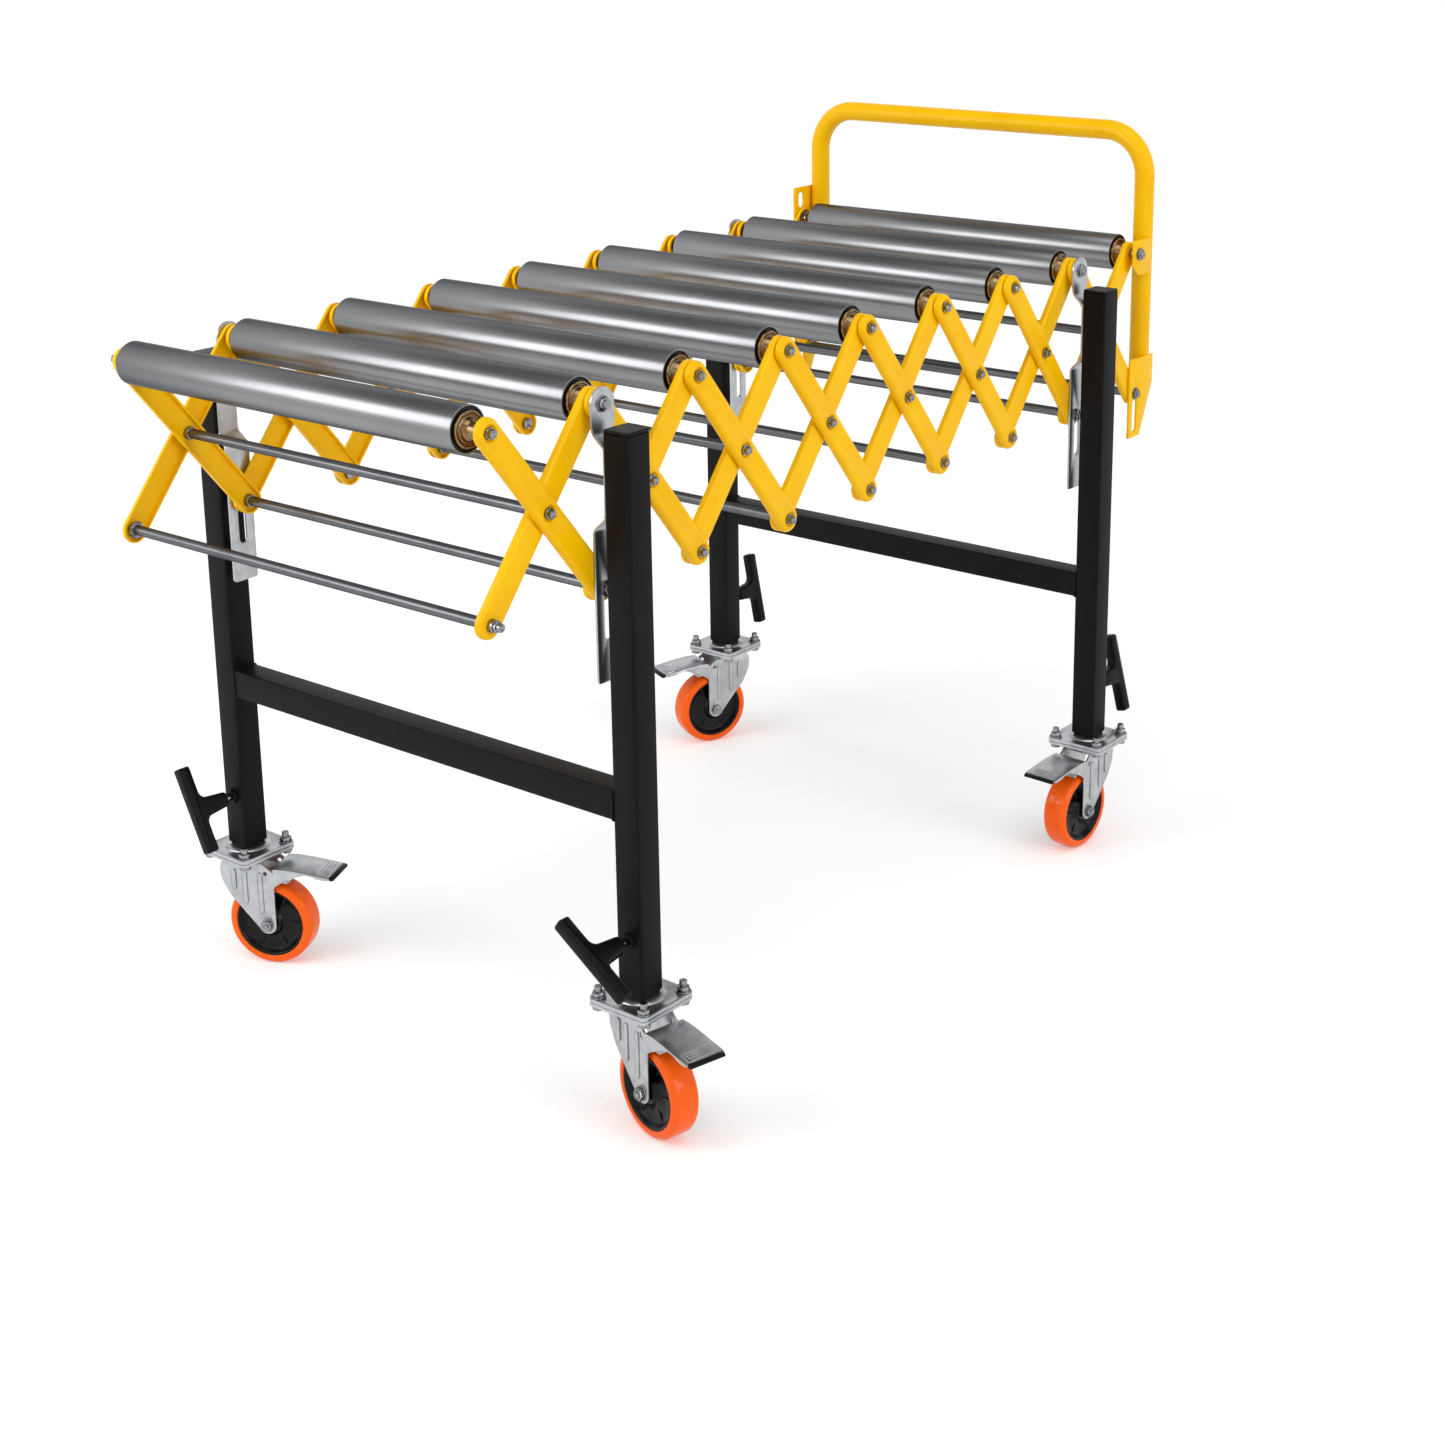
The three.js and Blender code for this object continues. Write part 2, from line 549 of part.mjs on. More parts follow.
// Castor plate with its upper race, kingpin and four bolts, drawn down from the plate's underside
function castorPlateBody() {
  const plate = block(centred(MOUNT_SIZE), centred(MOUNT_SIZE), [0, CASTOR_PLATE_THICKNESS]);
  const nutBottom = CASTOR_PLATE_THICKNESS + MOUNT_THICKNESS + 2 * SEAT_GAP;
  const nutTop = nutBottom + MOUNT_BOLT_HEAD_THICKNESS;
  const pinHeadBottom = -KINGPIN_HEAD_DROP - KINGPIN_HEAD_DEPTH;
  const boltTop = nutTop + MOUNT_BOLT_STANDOUT;
  const headBottom = -MOUNT_BOLT_HEAD_THICKNESS;
  const bolts = BOLT_PLACES.flatMap(([x, y]) => [
    bar("z", MOUNT_BOLT_RADIUS, headBottom, boltTop, [x, y, 0], HEX),
    bar("z", MOUNT_BOLT_HEAD_RADIUS, headBottom, 0, [x, y, 0], HEX),
    bar("z", MOUNT_BOLT_HEAD_RADIUS, nutBottom, nutTop, [x, y, 0], HEX),
  ]);
  return join([
    plate,
    bar("z", RACE_RADIUS, -RACE_DEPTH, 0, [0, 0, 0], DISC_SIDES),
    bar("z", KINGPIN_RADIUS, pinHeadBottom, 0),
    bar("z", KINGPIN_HEAD_RADIUS, pinHeadBottom, -KINGPIN_HEAD_DROP),
    ...bolts,
  ]);
}

// Fork: a crown under the race, two cheeks, and the wheel's axle bolt. +X is the way that the wheel trails.
function cheekOutline() {
  const top = -FORK_TOP_DROP;
  const crownBottom = top - FORK_THICKNESS;
  const axle = [CASTOR_TRAIL, -WHEEL_AXLE_DROP];
  const pivot = [PEDAL_PIVOT_REACH, -PEDAL_PIVOT_DROP];
  const earTop = pivot[1] + PEDAL_EYE_RADIUS;
  return [
    [CROWN_RADIUS, top],
    [-CHEEK_BACK, top],
    [-CHEEK_WAIST_BACK, -CHEEK_WAIST_DROP],
    [-CHEEK_LOW_BACK, -CHEEK_LOW_DROP],
    ...arc(axle[0], axle[1], AXLE_EYE_RADIUS, 205, 360, EYE_STEPS),
    [axle[0] + AXLE_EYE_RADIUS, -CHEEK_FRONT_DROP],
    ...arc(pivot[0], pivot[1], PEDAL_EYE_RADIUS, -60, 90, EYE_STEPS),
    [pivot[0] - PEDAL_EYE_RADIUS - PEDAL_PIN_RADIUS, earTop],
    [CROWN_RADIUS, crownBottom],
  ];
}

function forkBody() {
  const outline = cheekOutline();
  const crown = [-FORK_TOP_DROP - FORK_THICKNESS, -FORK_TOP_DROP];
  const cheeks = SIDES.map((side) => slabAlongY(outline, span(side, { from: FORK_INNER, to: FORK_OUTER })));
  const axle = [CASTOR_TRAIL, 0, -WHEEL_AXLE_DROP];
  const pivot = [PEDAL_PIVOT_REACH, 0, -PEDAL_PIVOT_DROP];
  const nutEnd = FORK_OUTER + WHEEL_NUT_THICKNESS;
  const nuts = SIDES.map((side) =>
    bar("y", WHEEL_NUT_RADIUS, ...span(side, { from: FORK_OUTER, to: nutEnd }), axle, HEX),
  );
  const body = join([
    ...cheeks,
    bar("z", CROWN_RADIUS, ...crown, [0, 0, 0], DISC_SIDES),
    block([-CHEEK_BACK, CROWN_RADIUS], [-FORK_OUTER, FORK_OUTER], crown),
    bar("y", WHEEL_AXLE_RADIUS, -nutEnd, nutEnd, axle),
    ...nuts,
  ]);
  return cut(body, [
    bar("z", clearRadius(KINGPIN_RADIUS), crown[0] - OVERRUN, crown[1] + OVERRUN),
    bar("y", clearRadius(PEDAL_PIN_RADIUS), -FORK_OUTER - OVERRUN, FORK_OUTER + OVERRUN, pivot),
  ]);
}

// Wheel: a rounded tread on a dished core with a bored hub, drawn about its own axle
function wheelBody() {
  const half = WHEEL_WIDTH / 2;
  const rim = WHEEL_RADIUS - TREAD_THICKNESS;
  const bore = clearRadius(WHEEL_AXLE_RADIUS);
  const sideProfile = [
    [WHEEL_RADIUS, half - TREAD_ROUND],
    [WHEEL_RADIUS - TREAD_ROUND, half],
    [rim, half],
    [rim, half - HUB_RECESS],
    [HUB_RADIUS, half - HUB_RECESS],
    [HUB_RADIUS, half],
    [bore, half],
  ];
  const otherSide = sideProfile.map(([r, y]) => [r, -y]).reverse();
  return turned("y", [...otherSide, ...sideProfile], WHEEL_SIDES, Math.PI / WHEEL_SIDES);
}

// Brake pedal: a tread plate, two ears on the pivot pin, and the shoe that presses on the wheel
function pedalBody() {
  const pivot = [PEDAL_PIVOT_REACH, -PEDAL_PIVOT_DROP];
  const heel = PEDAL_PIVOT_REACH - PEDAL_EYE_RADIUS;
  const top = -PEDAL_TOP_DROP;
  const plate = [
    [heel, top],
    [heel, top - PEDAL_THICKNESS],
    [PEDAL_REACH, top - PEDAL_THICKNESS - PEDAL_TIP_FALL],
    [PEDAL_REACH, top - PEDAL_TIP_FALL],
  ];
  const ear = [
    ...arc(pivot[0], pivot[1], PEDAL_EYE_RADIUS, 180, 330, EYE_STEPS),
    [PEDAL_REACH - PEDAL_EAR_SETBACK, top - PEDAL_THICKNESS],
    [heel, top - PEDAL_THICKNESS / 2],
  ];
  const width = [-PEDAL_EAR.to, PEDAL_EAR.to];
  const pinCentre = [pivot[0], 0, pivot[1]];
  const shoeCentre = [pivot[0] + BRAKE_SHOE_REACH, 0, pivot[1] - BRAKE_SHOE_DROP];
  const shoeArm = [
    [pivot[0] - BRAKE_SHOE_RADIUS, pivot[1]],
    [shoeCentre[0] - BRAKE_SHOE_RADIUS, shoeCentre[2]],
    [shoeCentre[0] + BRAKE_SHOE_RADIUS, shoeCentre[2]],
    [pivot[0] + BRAKE_SHOE_RADIUS, pivot[1]],
  ];
  const shoeWidth = [-FORK_INNER + SIDE_GAP, FORK_INNER - SIDE_GAP];
  return join([
    slabAlongY(plate, width),
    ...SIDES.map((side) => slabAlongY(ear, span(side, PEDAL_EAR))),
    bar("y", PEDAL_PIN_RADIUS, ...width, pinCentre),
    slabAlongY(shoeArm, shoeWidth),
    bar("y", BRAKE_SHOE_RADIUS, ...shoeWidth, shoeCentre, HEX),
  ]);
}

// Hand screw, drawn about its own axis: the stud points along +Y into the leg
function handScrewBody() {
  const face = -TUBE_SIZE / 2;
  const tip = -INNER_LEG_SIZE / 2 - SEAT_GAP;
  const bossFront = face - WELD_NUT_THICKNESS - STUD_SHOWING;
  const barMiddle = bossFront - HAND_BOSS_LENGTH;
  const centre = [0, barMiddle, 0];
  const half = HAND_BAR_LENGTH / 2;
  const tipRadius = HAND_BAR_RADIUS - HAND_BAR_TAPER;
  return join([
    bar("y", STUD_RADIUS, barMiddle, tip),
    bar("y", HAND_BOSS_RADIUS, barMiddle, bossFront),
    bar("z", HAND_BAR_RADIUS, 0, half, centre, PIN_SIDES, tipRadius),
    bar("z", tipRadius, -half, 0, centre, PIN_SIDES, HAND_BAR_RADIUS),
  ]);
}

function addCastor(leg, corner) {
  const castor = groupAt(leg, 0, 0, -CASTOR_DROP);
  addMesh(castor, `castor_plate_${corner}`, castorPlateBody(), "zinc");
  const swivel = groupAt(castor, 0, 0, 0);
  swivel.rotation.z = radians(CASTOR_HEADINGS[corner]);
  addMesh(swivel, `castor_fork_${corner}`, forkBody(), "zinc");
  addMesh(swivel, `brake_pedal_${corner}`, pedalBody(), "zinc");
  const wheel = groupAt(swivel, CASTOR_TRAIL, 0, -WHEEL_AXLE_DROP);
  addMesh(wheel, `castor_wheel_${corner}`, wheelBody(), "orange");
}

function addLegFrame(stand, end, station) {
  const screwWay = end === "front" ? -1 : 1; // hand screws are on the outer faces, away from the middle
  const frame = groupAt(stand, 0, (station - 1) * PITCH, 0);
  addMesh(frame, `leg_frame_${end}`, legFrameBody(screwWay), "black");
  for (const side of SIDES) {
    const corner = `${end}_${side > 0 ? "right" : "left"}`;
    addMesh(frame, `leg_bracket_${corner}`, bracketBody(side), "zinc");
    addMesh(frame, `leg_cap_${corner}`, capBody(side * LEG_X), "plastic");
    const leg = groupAt(frame, side * LEG_X, 0, 0);
    addMesh(leg, `inner_leg_${corner}`, innerLegBody(), "black");
    addCastor(leg, corner);
    const screw = groupAt(frame, side * LEG_X, 0, -SCREW_DROP);
    screw.rotation.z = screwWay > 0 ? Math.PI : 0;
    const lean = groupAt(screw, 0, 0, 0);
    lean.rotation.y = -radians(SCREW_LEANS[corner]);
    addMesh(lean, `hand_screw_${corner}`, handScrewBody(), "plastic");
  }
}

// Centre line of the bent handle tube: stations along a flat path, closer together in its two bends
class BentPath extends THREE.Curve {
  constructor(stations) {
    super();
    this.stations = stations;
  }

  getPoint(t) {
    const last = this.stations.length - 1;
    const k = Math.min(Math.floor(t * last), last - 1);
    return this.stations[k].clone().lerp(this.stations[k + 1], t * last - k);
  }

  getPointAt(t) {
    return this.getPoint(t);
  }

  getTangentAt(t) {
    const last = this.stations.length - 1;
    const k = Math.round(t * last);
    const before = this.stations[Math.max(k - 1, 0)];
    const here = this.stations[k];
    const after = this.stations[Math.min(k + 1, last)];
    const into = here.clone().sub(before).normalize();
    const out = after.clone().sub(here).normalize();
    return into.add(out).normalize();
  }
}

function handleTube() {
  const y = HANDLE_SETBACK;
  const bendX = HANDLE_X - HANDLE_CORNER_RADIUS;
  const bendZ = HANDLE_TOP_RISE - HANDLE_CORNER_RADIUS;
  const right = arc(bendX, bendZ, HANDLE_CORNER_RADIUS, 0, 90, HANDLE_BEND_STEPS);
  const left = arc(-bendX, bendZ, HANDLE_CORNER_RADIUS, 90, 180, HANDLE_BEND_STEPS);
  const foot = -HANDLE_TUBE_BOTTOM_DROP;
  const line = [[HANDLE_X, foot], ...right, ...left, [-HANDLE_X, foot]];
  const ring = (radius) => {
    const points = arc(0, 0, radius, 0, 360, HANDLE_SIDES).slice(0, -1);
    return points.map(([u, v]) => new THREE.Vector2(u, v));
  };
  const shape = new THREE.Shape(ring(HANDLE_RADIUS));
  shape.holes.push(new THREE.Path(ring(HANDLE_RADIUS - HANDLE_WALL)));
  const extrudePath = new BentPath(line.map(([x, z]) => new THREE.Vector3(x, y, z)));
  return solid(new THREE.ExtrudeGeometry(shape, { extrudePath, steps: line.length - 1 }));
}

// Upper side plates, pivoted on the last roller's axle
function handleEar(side) {
  const half = ARM_WIDTH / 2;
  const top = side > 0 ? EAR_TOP_RISE_RIGHT : EAR_TOP_RISE_LEFT;
  const outline = [
    [-half, -half],
    [0, -EAR_BOTTOM_DROP],
    [HANDLE_SETBACK, -EAR_BOTTOM_DROP],
    [HANDLE_SETBACK, top],
    [-half, top],
  ];
  const cheek = span(side, { from: SIDE_PLATE.from - OVERRUN, to: SIDE_PLATE.to + OVERRUN });
  const holes = [bar("x", clearRadius(AXLE_RADIUS), ...cheek)];
  if (side < 0) {
    holes.push(uprightSlot(EAR_HOLE_RADIUS, EAR_HOLE_BOTTOM_RISE, EAR_HOLE_TOP_RISE, cheek));
  }
  return cut(slab(outline, span(side, SIDE_PLATE)), holes);
}

// Lower side plates, slotted for the last bottom rod, which slides down as the frame closes
function handleFoot(side) {
  const half = FOOT_BOTTOM_WIDTH / 2;
  const back = HANDLE_SETBACK + HANDLE_RADIUS;
  const outline = [
    [-half, -FOOT_BOTTOM_DROP],
    [half, -FOOT_BOTTOM_DROP],
    [back, -HANDLE_TUBE_BOTTOM_DROP],
    [back, -FOOT_TOP_DROP],
    [-half, -FOOT_TOP_DROP],
  ];
  const cheek = span(side, { from: SIDE_PLATE.from - OVERRUN, to: SIDE_PLATE.to + OVERRUN });
  const slot = uprightSlot(clearRadius(ROD_RADIUS), -FOLDED_RISE, -RISE, cheek);
  return slab(outline, span(side, SIDE_PLATE)).subtract(slot);
}

function addHandle(stand) {
  const group = groupAt(stand, 0, (ROLLER_COUNT - 1) * PITCH, 0);
  const plates = SIDES.flatMap((side) => [handleEar(side), handleFoot(side)]);
  addMesh(group, "push_handle", join([handleTube(), ...plates]), "yellow");
}

// The whole stand, moved so that its origin is the middle of the base of its box
const rollerStand = new THREE.Group();
addScissorFrame(rollerStand);
addRollers(rollerStand);
addLegFrame(rollerStand, "front", LEG_STATIONS[0]);
addLegFrame(rollerStand, "rear", LEG_STATIONS[1]);
addHandle(rollerStand);
const box = new THREE.Box3().setFromObject(rollerStand, true);
const middle = box.getCenter(new THREE.Vector3());
rollerStand.position.set(-middle.x, -middle.y, -box.min.z);

export default rollerStand;
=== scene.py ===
from math import atan2, cos, hypot, pi, radians, sin, sqrt

import bmesh
import bpy
from mathutils import Matrix, Vector


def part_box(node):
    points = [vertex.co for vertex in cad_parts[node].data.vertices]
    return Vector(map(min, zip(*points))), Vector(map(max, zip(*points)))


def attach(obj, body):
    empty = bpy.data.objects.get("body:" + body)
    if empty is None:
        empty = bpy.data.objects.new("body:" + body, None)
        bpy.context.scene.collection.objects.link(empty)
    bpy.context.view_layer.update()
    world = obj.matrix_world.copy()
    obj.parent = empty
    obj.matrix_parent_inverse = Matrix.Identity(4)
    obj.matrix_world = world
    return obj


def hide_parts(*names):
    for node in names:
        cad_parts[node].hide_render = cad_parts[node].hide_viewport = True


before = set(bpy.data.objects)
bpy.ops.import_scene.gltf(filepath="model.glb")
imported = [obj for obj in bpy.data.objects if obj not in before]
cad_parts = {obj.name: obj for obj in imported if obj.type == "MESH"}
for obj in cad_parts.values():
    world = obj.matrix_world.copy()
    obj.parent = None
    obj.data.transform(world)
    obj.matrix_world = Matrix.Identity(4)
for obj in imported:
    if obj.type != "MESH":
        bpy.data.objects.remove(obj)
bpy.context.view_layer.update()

# An expandable roller stand. Every shape is drawn in millimetres in the stand's own frame, whose origin is
# the middle of the first roller's axle, with X along the rollers, Y along the frame and Z up.

# Scissor frame
PITCH = 160
RISE = 200
ROLLERS = 9
BAYS = ROLLERS - 1
FRAME_HALF_WIDTH = 296
ARM_WIDTH = 32
CHANNEL_DEPTH = 8
CHANNEL_WALL = 2.5
CHANNEL_WEB = 3.4
OUTER_ROUNDING = 6
INNER_ROUNDING = 4
ROUNDING_STEPS = 6
ARM_GAP = 2
SIDE_GAP = 0.5
PLATE_THICKNESS = 3
LEG_STATIONS = (2, 8)
OUTER_ARM = (FRAME_HALF_WIDTH - CHANNEL_DEPTH, FRAME_HALF_WIDTH)
INNER_ARM = (OUTER_ARM[0] - ARM_GAP - CHANNEL_DEPTH, OUTER_ARM[0] - ARM_GAP)
SIDE_PLATE = (FRAME_HALF_WIDTH + SIDE_GAP, FRAME_HALF_WIDTH + SIDE_GAP + PLATE_THICKNESS)
ARM_LENGTH = hypot(PITCH, RISE)
ARM_LEAN = atan2(RISE, PITCH)
FOLDED_PITCH = 54
FOLDED_RISE = sqrt(ARM_LENGTH**2 - FOLDED_PITCH**2)

# Pins, rods and nuts. The plans say which arms carry each pin of a row: A or a for a bay's first arms, and B
# or b for its second ones. A capital is one bar across the frame, a small letter a rivet on each side.
PIN_PLANS = {"top": "AAAAABABB", "middle": "AaBaaAaA", "bottom": "BBbBbBbBA"}
PIN_START = INNER_ARM[1]
AXLE_RADIUS = 6
AXLE_ROOM = 0.6
ROD_RADIUS = 6
NUT_THICKNESS = 5
WASHER_THICKNESS = 1.2
WASHER_REACH = 1.12
WASHER_EDGE = 0.3
HEX_CHAMFER = 0.9
BOLT_CHAMFER = 0.8
BOLT_END = 2.2
DISH_DEPTH = 0.9
DISH_RIM = 0.62
DISH_FLOOR = 0.4
CASTOR_BOLT_RADIUS = 4.4
DIMPLE_RADIUS = 9.2
DIMPLE_DEPTH = 2.8
DIMPLE_FLOOR_RADIUS = 7.8
DIMPLE_EDGE = 0.7
DIMPLE_STEPS = 28
PIN_STANDOUT = 6
PIN_RADIUS = {"top": 5, "middle": 4.5, "bottom": 4.5}
LOW_NUT_RADIUS = 6.8
LOW_NUT_CHAMFER = 0.7
PLATE_NUT_RADIUS = {"top": 8.2, "bottom": 7.6}
PIN_NUT_THICKNESS = 3.4
ARM_WASHER_RADIUS = 10
SLEEVE_RADIUS = 7
SLEEVE_EDGE = 0.6
SPACER_RADIUS = 8.6
COLLAR_RADIUS = 7.8
ROD_COLLAR_STANDOUT = 2.6
RIVET_HEAD_STANDOUT = 0.6
ROD_OVERLAP = 4
PIN_SLOT_RADIUS = 5.8

# Rollers
ROLLER_RADIUS = 25
ROLLER_HALF = 265
ROLLER_WALL = 1.5
ROLLER_RIM_DEPTH = 14
ROLLER_END_ROOM = 17.5
NOSE_ROOM = 0.2

# Leg frames
TUBE = 35
TUBE_WALL = 1.5
TUBE_CORNER = 3
LEG_X = 331
LEG_TOP = -26
LEG_BOTTOM = -655
CROSSBAR_TOP = -420
WELD_OVERLAP = 0.6
WELD_SIZE = 3.2
WELD_DEPTH = 0.8
WELD_EDGE = 1.4
CAP_THICKNESS = 4
CAP_EDGE = 1.6
CAP_GAP = 0.3
SCREW_Z = -590
BOSS_RADIUS = 9
BOSS_BORE = 4.3
BOSS_DEPTH = 5.4
BOSS_SINK = 0.4
STUD_RADIUS = 4
STUD_LENGTH = 28
STUD_START = 12
STUD_EDGE = 0.6
GRIP_THICKNESS = 17
GRIP_HALF_LENGTH = 55.5
GRIP_HALF_DEPTH = 8
GRIP_NECK = 9
GRIP_NECK_FLARE = 3
GRIP_FRONT = 45
GRIP_FILLET = 9
GRIP_CORNER = 3
GRIP_EDGE = 4.5
GRIP_REACH = 75.5

# Hanging brackets
BRACKET_HALF_WIDTH = 18
BRACKET_GAP = 0.3
BRACKET_CORNER = 4
BRACKET_EDGE = 0.6
NECK_INSET = 4
LUG_BOTTOM = -28
NECK_TOP = LUG_BOTTOM - 6
NECK_SHOULDER = -20
BEND_HEIGHT = 18
BEND_STEPS = 8
GUIDE_TOP = -136
GUIDE_BOTTOM = -303

# Inner legs and castors. Below the mount plate, heights count from the castor plate's underside.
MOUNT_SIZE = 84
MOUNT_THICKNESS = 5
MOUNT_CORNER = 7
MOUNT_TOP = -661
MOUNT_BOLT_HOLE = 4.6
MOUNT_NUT_RADIUS = 7.6
MOUNT_NUT_LIFT = 0.6
MOUNT_BOLT_END = 7
BOLT_HEAD_THICKNESS = 5
BOLT_HEAD_BOTTOM = -5.4
INNER_TUBE = 31
INNER_TUBE_CORNER = 2.5
INNER_TUBE_SHOWN = 300
SEAM_SIZE = 34.5
SEAM_CORNER = 4
SEAM_HEIGHT = 2.2
DOME_PROFILE = [(0, -0.4), (29, -0.4), (27, 1.6), (23, 2.6), (0, 2.6)]
DOME_EDGE = 0.6
CASTOR_PLATE_THICKNESS = 4
CASTOR_Z = -670.3
RACE_PROFILE = [(0, 0.4), (35, 0.4), (34, -1.4), (31, -3.2), (0, -3.2)]
RACE_EDGE = 0.6
KINGPIN_RADIUS = 6
KINGPIN_HEAD_RADIUS = 10
KINGPIN_HEAD_TOP = -8.8
KINGPIN_HEAD_BOTTOM = -12.8
KINGPIN_HEAD_EDGE = 1.2
BOLT_PLACE = 33
WHEEL_RADIUS = 56
WHEEL_HALF_WIDTH = 17.5
TREAD_DEPTH = 11
TREAD_SHOULDER = 8
CASTOR_TRAIL = 30
WHEEL_AXLE_Z = -90.8
FORK_INNER = 20
FORK_OUTER = 23
FORK_TOP = -5.4
FORK_THICKNESS = 3
FORK_EDGE = 0.9
FORK_END_RADIUS = 12
# The notch's height and radius, and the hole's radius and place
FORK_NOTCH = (-41, 6)
FORK_HOLE = (2.6, 31, -20)
CROWN_PROFILE = [(0, -9), (24, -9), (27.6, -8), (29, FORK_TOP), (21, FORK_TOP - 0.3), (0, FORK_TOP - 0.3)]
CROWN_EDGE = 0.5
RIB_WIDTH = 6.5
RIB_HEIGHT = 2.2
RIB_SINK = 0.4
RIB_EDGE = 1.6
# Each rib's place along the cheek, and the heights of its two ends
RIBS = ((-12, -20, -42), (3, -20, -60), (24, -22, -72))
BRIDGE_LENGTH = 50
BRIDGE_THICKNESS = 3.2
AXLE_NUT_RADIUS = 8
WHEEL_AXLE_RADIUS = 5
# Radius, and how far from the middle it starts and ends
AXLE_SPACER = (9, 17.6, 19.9)
WEB_COUNT = 6
WEB_SIZE = (24, 5)
WEB_PLACE = 27
WEB_INSET = 7
PEDAL_PIVOT = (50, -24)
PEDAL_REACH = 124
PEDAL_HALF_WIDTH = 25.5
PEDAL_THICKNESS = 2.6
PEDAL_SHEET = 2
PEDAL_EAR_RADIUS = 7
# Radius and half length
PEDAL_PIN = (3, 24.6)
PAD_SIZE = (20, 40)
RIDGE_SIZE = (2.4, 34)
RIDGE_COUNT = 4
# Along the pedal and up
RIDGE_STEP = (4.6, -0.5)
SHOE_WIDTH = 36
PEDAL_TIP_WIDTH = 46
HEADINGS = {"front_right": -14, "front_left": 25, "rear_right": -93, "rear_left": -113}
SCREW_LEANS = {"front_right": 55, "front_left": 26, "rear_right": -14, "rear_left": -11}

# Push handle
HANDLE_RADIUS = 14
HANDLE_SETBACK = 35
HANDLE_X = SIDE_PLATE[0] + 2 - HANDLE_RADIUS
HANDLE_TOP = 166
HANDLE_CORNER = 62
HANDLE_BOTTOM = -190
HANDLE_EDGE = 1.2
HANDLE_PLATE_EDGE = 0.6
EAR_BOTTOM = -30
EAR_TOP = 20
TALL_EAR_TOP = 48
# Radius, and the heights of its two ends' centres
EAR_SLOT = (6, 22, 34)
FOOT_TOP = -150
FOOT_BOTTOM = -264.2

SIDES = (1, -1)
MM = 0.001
MERGE_DISTANCE = 0.001
NEAR = 0.01
SHARP = radians(32)
FLAT = radians(1)
RIM_ANGLE = radians(60)

# Steps round a full turn
BIG_ROUND = 96
WHEEL_CORE_ROUND = 72
MEDIUM_ROUND = 64
RACE_ROUND = 56
ROD_ROUND = 40
SMALL_ROUND = 32

first_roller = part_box("roller_1")
STAND = Matrix.Translation((Vector(first_roller[0]) + Vector(first_roller[1])) / 2) @ Matrix.Scale(MM, 4)

# Outlines lie in the plane of a shape's first two axes, and the shape grows along the third, Z. These turn it
# so that it grows along X or along -Y.
GROW_X = Matrix(((0, 0, 1, 0), (1, 0, 0, 0), (0, 1, 0, 0), (0, 0, 0, 1)))
GROW_BACK = Matrix(((1, 0, 0, 0), (0, 0, -1, 0), (0, 1, 0, 0), (0, 0, 0, 1)))


def arc(u, v, radius, start, end, steps):
    turns = [radians(start + (end - start) * k / steps) for k in range(steps + 1)]
    return [(u + radius * cos(t), v + radius * sin(t)) for t in turns]


def circle(radius, steps, u=0, v=0):
    return arc(u, v, radius, 0, 360, steps)[:-1]


def rounded_box(width, height, corner, steps=4):
    u, v = width / 2 - corner, height / 2 - corner
    corners = [(u, v, 0), (-u, v, 90), (-u, -v, 180), (u, -v, 270)]
    return [p for a, b, t in corners for p in arc(a, b, corner, t, t + 90, steps)]


def upright_slot(radius, low, high, steps=10):
    return arc(0, high, radius, 0, 180, steps) + arc(0, low, radius, 180, 360, steps)


def faces_outward(shape):
    bmesh.ops.remove_doubles(shape, verts=shape.verts[:], dist=MERGE_DISTANCE)
    bmesh.ops.recalc_face_normals(shape, faces=shape.faces[:])
    return shape


def round_edges(shape, size, steps=2, edges=None):
    if edges is None:
        edges = [e for e in shape.edges if e.is_manifold and e.calc_face_angle() > SHARP]
    bmesh.ops.bevel(
        shape, geom=edges, offset=size, segments=steps, profile=0.5, affect="EDGES", material=-1
    )
    return shape


def outline_faces(outline, holes=()):
    shape = bmesh.new()
    rims = []
    for loop in [outline, *holes]:
        corners = [shape.verts.new((u, v, 0)) for u, v in loop]
        rims += [shape.edges.new(pair) for pair in zip(corners, corners[1:] + corners[:1])]
    if holes:
        bmesh.ops.triangle_fill(shape, use_beauty=True, edges=rims)
        bmesh.ops.dissolve_limit(
            shape, angle_limit=FLAT, verts=shape.verts[:], edges=shape.edges[:]
        )
    else:
        bmesh.ops.contextual_create(shape, geom=rims)
    return shape


def grow(shape, faces, way):
    made = bmesh.ops.extrude_face_region(shape, geom=faces)["geom"]
    moved = [v for v in made if isinstance(v, bmesh.types.BMVert)]
    bmesh.ops.translate(shape, verts=moved, vec=way)
    return [f for f in made if isinstance(f, bmesh.types.BMFace)]


def plate(outline, thickness, edge=0.8, holes=(), steps=2):
    shape = outline_faces(outline, holes)
    grow(shape, shape.faces[:], (0, 0, thickness))
    faces_outward(shape)
    return round_edges(shape, edge, steps) if edge else shape


def turned(profile, edge=0, steps=MEDIUM_ROUND):
    """A closed [radius, height] profile spun about the third axis."""
    shape = bmesh.new()
    ring = [shape.verts.new((r, 0, h)) for r, h in profile]
    pairs = [(a, b) for a, b in zip(ring, ring[1:] + ring[:1]) if a.co.x or b.co.x]
    edges = [shape.edges.new(pair) for pair in pairs]
    bmesh.ops.spin(
        shape, geom=ring + edges, cent=(0, 0, 0), axis=(0, 0, 1), angle=2 * pi, steps=steps,
        use_merge=True,
    )
    faces_outward(shape)
    return round_edges(shape, edge) if edge else shape


def disc(radius, low, high, edge=0.5, hole=0, steps=SMALL_ROUND):
    return turned([(hole, low), (radius, low), (radius, high), (hole, high)], edge, steps)


def moved(shape, *steps):
    """Turned by each matrix or shifted by each tuple, in the order given."""
    for step in steps:
        shape.transform(step if isinstance(step, Matrix) else Matrix.Translation(step))
    return shape


